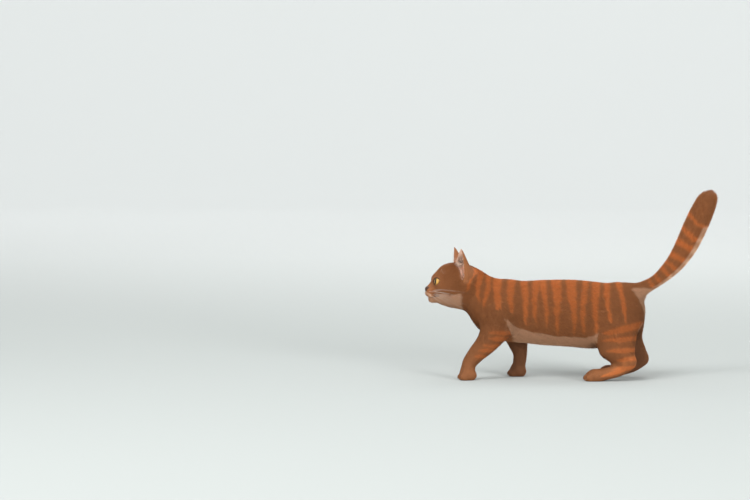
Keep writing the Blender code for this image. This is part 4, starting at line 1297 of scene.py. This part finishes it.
def bent_copy(strand, root, along, bend, length, radius):
    """A copy of the strand from its root along a way, bending steadily toward another."""
    made = bpy.data.objects.new("strand_copy", strand.data.copy())
    bpy.context.scene.collection.objects.link(made)
    points = points_of(made)
    share = points[:, 2:3]
    along = np.array(along) / np.linalg.norm(along)
    side = np.cross(along, bend)
    side = side / np.linalg.norm(side)
    middle = np.array(root) + along * share * length + np.array(bend) * (share**2 * length)
    ahead = unit(along + np.array(bend) * 2 * share)
    other = np.cross(side, ahead)
    place_points(made, middle + (side * points[:, 0:1] + other * points[:, 1:2]) * radius)
    return made


def joined(objects, name):
    bpy.ops.object.select_all(action="DESELECT")
    for obj in objects:
        obj.select_set(True)
    bpy.context.view_layer.objects.active = objects[0]
    bpy.ops.object.join()
    objects[0].name = name
    return objects[0]


def build_whiskers(skin):
    """Whiskers in rows on each side of the muzzle, and a few over each eye."""
    strand = tapered_strand()
    head = head_frame()
    turn = np.array(head.to_3x3())
    material = horn_material("whisker_keratin", "#efe6da", 0.35)
    for name, side in SIDES.items():
        whiskers = []
        for row, count in enumerate(WHISKERS_IN_ROW):
            for k, length in list(enumerate(WHISKER_LENGTHS))[-count:]:
                steps = Vector(WHISKER_STEP_BACK) * k + Vector(WHISKER_STEP_DOWN) * row
                spot = side_point(Vector(WHISKER_FIRST) + steps, side)
                root = skin.closest_point_on_mesh(head @ (spot * MM))[1]
                rise = WHISKER_RISE[0] + WHISKER_RISE[1] * row
                way = turn @ np.array([WHISKER_SWEEP[0] + WHISKER_SWEEP[1] * k, side, rise])
                bend = turn @ np.array(WHISKER_BEND)
                whiskers.append(bent_copy(strand, root, way, bend, length * MM, WHISKER_RADIUS * MM))
        for k in range(BROW_HAIRS):
            spot = side_point(Vector(BROW_FIRST) + Vector(BROW_STEP) * k, side)
            root = skin.closest_point_on_mesh(head @ (spot * MM))[1]
            way = turn @ np.array([-0.55, side * (0.35 + 0.2 * k), 0.9])
            bend = turn @ np.array([0.5, side * 0.1, -0.1])
            length = BROW_LENGTH[0] + BROW_LENGTH[1] * k
            whiskers.append(bent_copy(strand, root, way, bend, length * MM, BROW_RADIUS * MM))
        finish_piece(joined(whiskers, "whiskers_" + name), material)
    bpy.data.objects.remove(strand)


def build_claws():
    """The tips of the drawn-in claws, one at the end of each toe."""
    strand = tapered_strand()
    material = horn_material("claw_horn", "#a8927c", 0.3)
    for paw in PAWS:
        middle, turn = paw_frame(paw)
        claws = []
        for across, back in zip(TOE_SPREAD, TOE_SETBACK):
            spot = middle + turn @ (Vector((back - TOE_TIP + CLAW_BACK, across, CLAW_HEIGHT)) * MM)
            way = turn @ Vector((-1, 0, -0.5))
            sizes = (CLAW_LENGTH * MM, CLAW_RADIUS * MM)
            claws.append(bent_copy(strand, spot, way, (0, 0, -0.35), *sizes))
        finish_piece(joined(claws, "claws_" + paw), material)
    bpy.data.objects.remove(strand)


def build_stage():
    """A plain pale floor that rises behind the cat, soft studio lights, and the camera."""
    settings = bpy.context.scene.stage_settings
    bpy.ops.object.select_all(action="DESELECT")
    bpy.ops.mesh.primitive_plane_add(size=FLOOR_SIZE)
    floor = bpy.context.object
    floor.name = "floor"
    bpy.ops.object.mode_set(mode="EDIT")
    bpy.ops.mesh.select_all(action="DESELECT")
    bm = bmesh.from_edit_mesh(floor.data)
    for edge in bm.edges:
        edge.select_set(all(vert.co.y > 0 for vert in edge.verts))
    bpy.ops.mesh.extrude_region_move(TRANSFORM_OT_translate={"value": (0, 0, FLOOR_SIZE / 2)})
    bm = bmesh.from_edit_mesh(floor.data)
    for edge in bm.edges:
        edge.select_set(all(vert.co.y > 0 and abs(vert.co.z) < MM for vert in edge.verts))
    bpy.ops.mesh.bevel(offset=FLOOR_RISE, segments=24)
    bpy.ops.object.mode_set(mode="OBJECT")
    bpy.ops.object.shade_smooth()
    made, tree, shader = new_material("matt_studio_floor")
    # The paper gets paler as it runs out of the lamps' reach, so that it looks even from the camera.
    place = add_node(tree, "ShaderNodeTexCoord", {})
    split = add_node(tree, "ShaderNodeSeparateXYZ", {0: place.outputs["Object"]})
    reach = {0: split.outputs[1], 1: FLOOR_FADE[0], 2: FLOOR_FADE[1], 3: 0.0, 4: 1.0}
    away = add_node(tree, "ShaderNodeMapRange", reach, interpolation_type="SMOOTHSTEP")
    ends = {FIRST: settings.floor, SECOND: settings.backdrop}
    paper = add_node(tree, "ShaderNodeMix", {FACTOR: away.outputs[0], **ends}, **RGBA)
    tree.links.new(paper.outputs[RESULT], shader.inputs["Base Color"])
    shader.inputs["Roughness"].default_value = 0.9
    floor.data.materials.append(made)
    floor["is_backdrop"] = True

    world = bpy.data.worlds.new("studio")
    bpy.context.scene.world = world
    world.use_nodes = True
    background = world.node_tree.nodes["Background"]
    background.inputs["Color"].default_value = linear("#f2f5f5")
    background.inputs["Strength"].default_value = 1.0
    bpy.context.scene.view_settings.view_transform = "Standard"
    for name, spot, size, power in LIGHTS:
        bpy.ops.object.light_add(type="AREA", location=spot)
        light = bpy.context.object
        light.name = name
        light.data.size = size
        light.data.energy = power
        light.visible_camera = False
        light.rotation_euler = (Vector(CAT_MIDDLE) - Vector(spot)).to_track_quat("-Z", "Y").to_euler()

    rise = math.radians(CAMERA_RISE)
    back = -settings.distance * math.cos(rise)
    spot = Vector((0, back, CAMERA_LEVEL + settings.distance * math.sin(rise)))
    bpy.ops.object.camera_add(location=spot)
    camera = bpy.context.object
    camera.data.lens = settings.lens
    camera.rotation_euler = (Vector(CAMERA_AIM) - spot).to_track_quat("-Z", "Y").to_euler()
    bpy.context.scene.camera = camera


class CatStep:
    """What every step has in common: it can be undone."""

    bl_options = {"REGISTER", "UNDO"}


class CAT_OT_skin(CatStep, bpy.types.Operator):
    """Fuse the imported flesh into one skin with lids, lips and the coat's pattern"""

    bl_idname = "munchkin.skin"
    bl_label = "Skin"

    def execute(self, context):
        skin = build_skin()
        dress_skin(skin)
        finish_piece(skin, skin_material())
        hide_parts(*FLESH)
        return {"FINISHED"}


class CAT_OT_eyes(CatStep, bpy.types.Operator):
    """Make the eyeballs and the rims of the lids"""

    bl_idname = "munchkin.eyes"
    bl_label = "Eyes"

    def execute(self, context):
        build_eyes()
        return {"FINISHED"}


class CAT_OT_nose(CatStep, bpy.types.Operator):
    """Make the nose leather"""

    bl_idname = "munchkin.nose"
    bl_label = "Nose"

    def execute(self, context):
        build_nose()
        return {"FINISHED"}


class CAT_OT_coat(CatStep, bpy.types.Operator):
    """Grow the coat of tufts and the fringe inside the ears"""

    bl_idname = "munchkin.coat"
    bl_label = "Coat"

    def execute(self, context):
        build_coat(bpy.data.objects["skin"])
        build_ear_fringe(bpy.data.objects["skin"])
        return {"FINISHED"}


class CAT_OT_whiskers(CatStep, bpy.types.Operator):
    """Set the whiskers on the muzzle and over the eyes"""

    bl_idname = "munchkin.whiskers"
    bl_label = "Whiskers"

    def execute(self, context):
        build_whiskers(bpy.data.objects["skin"])
        return {"FINISHED"}


class CAT_OT_claws(CatStep, bpy.types.Operator):
    """Set a claw at the end of each toe"""

    bl_idname = "munchkin.claws"
    bl_label = "Claws"

    def execute(self, context):
        build_claws()
        return {"FINISHED"}


class CAT_OT_stage(CatStep, bpy.types.Operator):
    """Lay the floor, and set the lights and the camera"""

    bl_idname = "munchkin.stage"
    bl_label = "Stage"

    def execute(self, context):
        build_stage()
        return {"FINISHED"}


STEPS = (CAT_OT_skin, CAT_OT_eyes, CAT_OT_nose, CAT_OT_coat, CAT_OT_whiskers, CAT_OT_claws, CAT_OT_stage)


class CAT_PT_panel(bpy.types.Panel):
    """Settings and steps of the munchkin cat"""

    bl_idname = "CAT_PT_panel"
    bl_label = "Munchkin cat"
    bl_space_type = "VIEW_3D"
    bl_region_type = "UI"
    bl_category = "Munchkin cat"

    def draw(self, context):
        scene = context.scene
        for settings in (scene.coat_settings, scene.eye_settings, scene.stage_settings):
            box = self.layout.box()
            for name in settings.__annotations__:
                box.prop(settings, name)
        for step in STEPS:
            self.layout.operator(step.bl_idname)


CLASSES = (CoatSettings, EyeSettings, StageSettings, *STEPS, CAT_PT_panel)


def register():
    for kind in CLASSES:
        bpy.utils.register_class(kind)
    bpy.types.Scene.coat_settings = PointerProperty(type=CoatSettings)
    bpy.types.Scene.eye_settings = PointerProperty(type=EyeSettings)
    bpy.types.Scene.stage_settings = PointerProperty(type=StageSettings)


def unregister():
    del bpy.types.Scene.stage_settings
    del bpy.types.Scene.eye_settings
    del bpy.types.Scene.coat_settings
    for kind in reversed(CLASSES):
        bpy.utils.unregister_class(kind)


def main():
    register()
    bpy.ops.munchkin.skin()
    bpy.ops.munchkin.eyes()
    bpy.ops.munchkin.nose()
    bpy.ops.munchkin.coat()
    bpy.ops.munchkin.whiskers()
    bpy.ops.munchkin.claws()
    bpy.ops.munchkin.stage()
    boxes = {"cad": CAD_BOX, "visual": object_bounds()}
    boxes = {name: [[float(value) for value in corner] for corner in box] for name, box in boxes.items()}


if __name__ == "__main__":
    main()
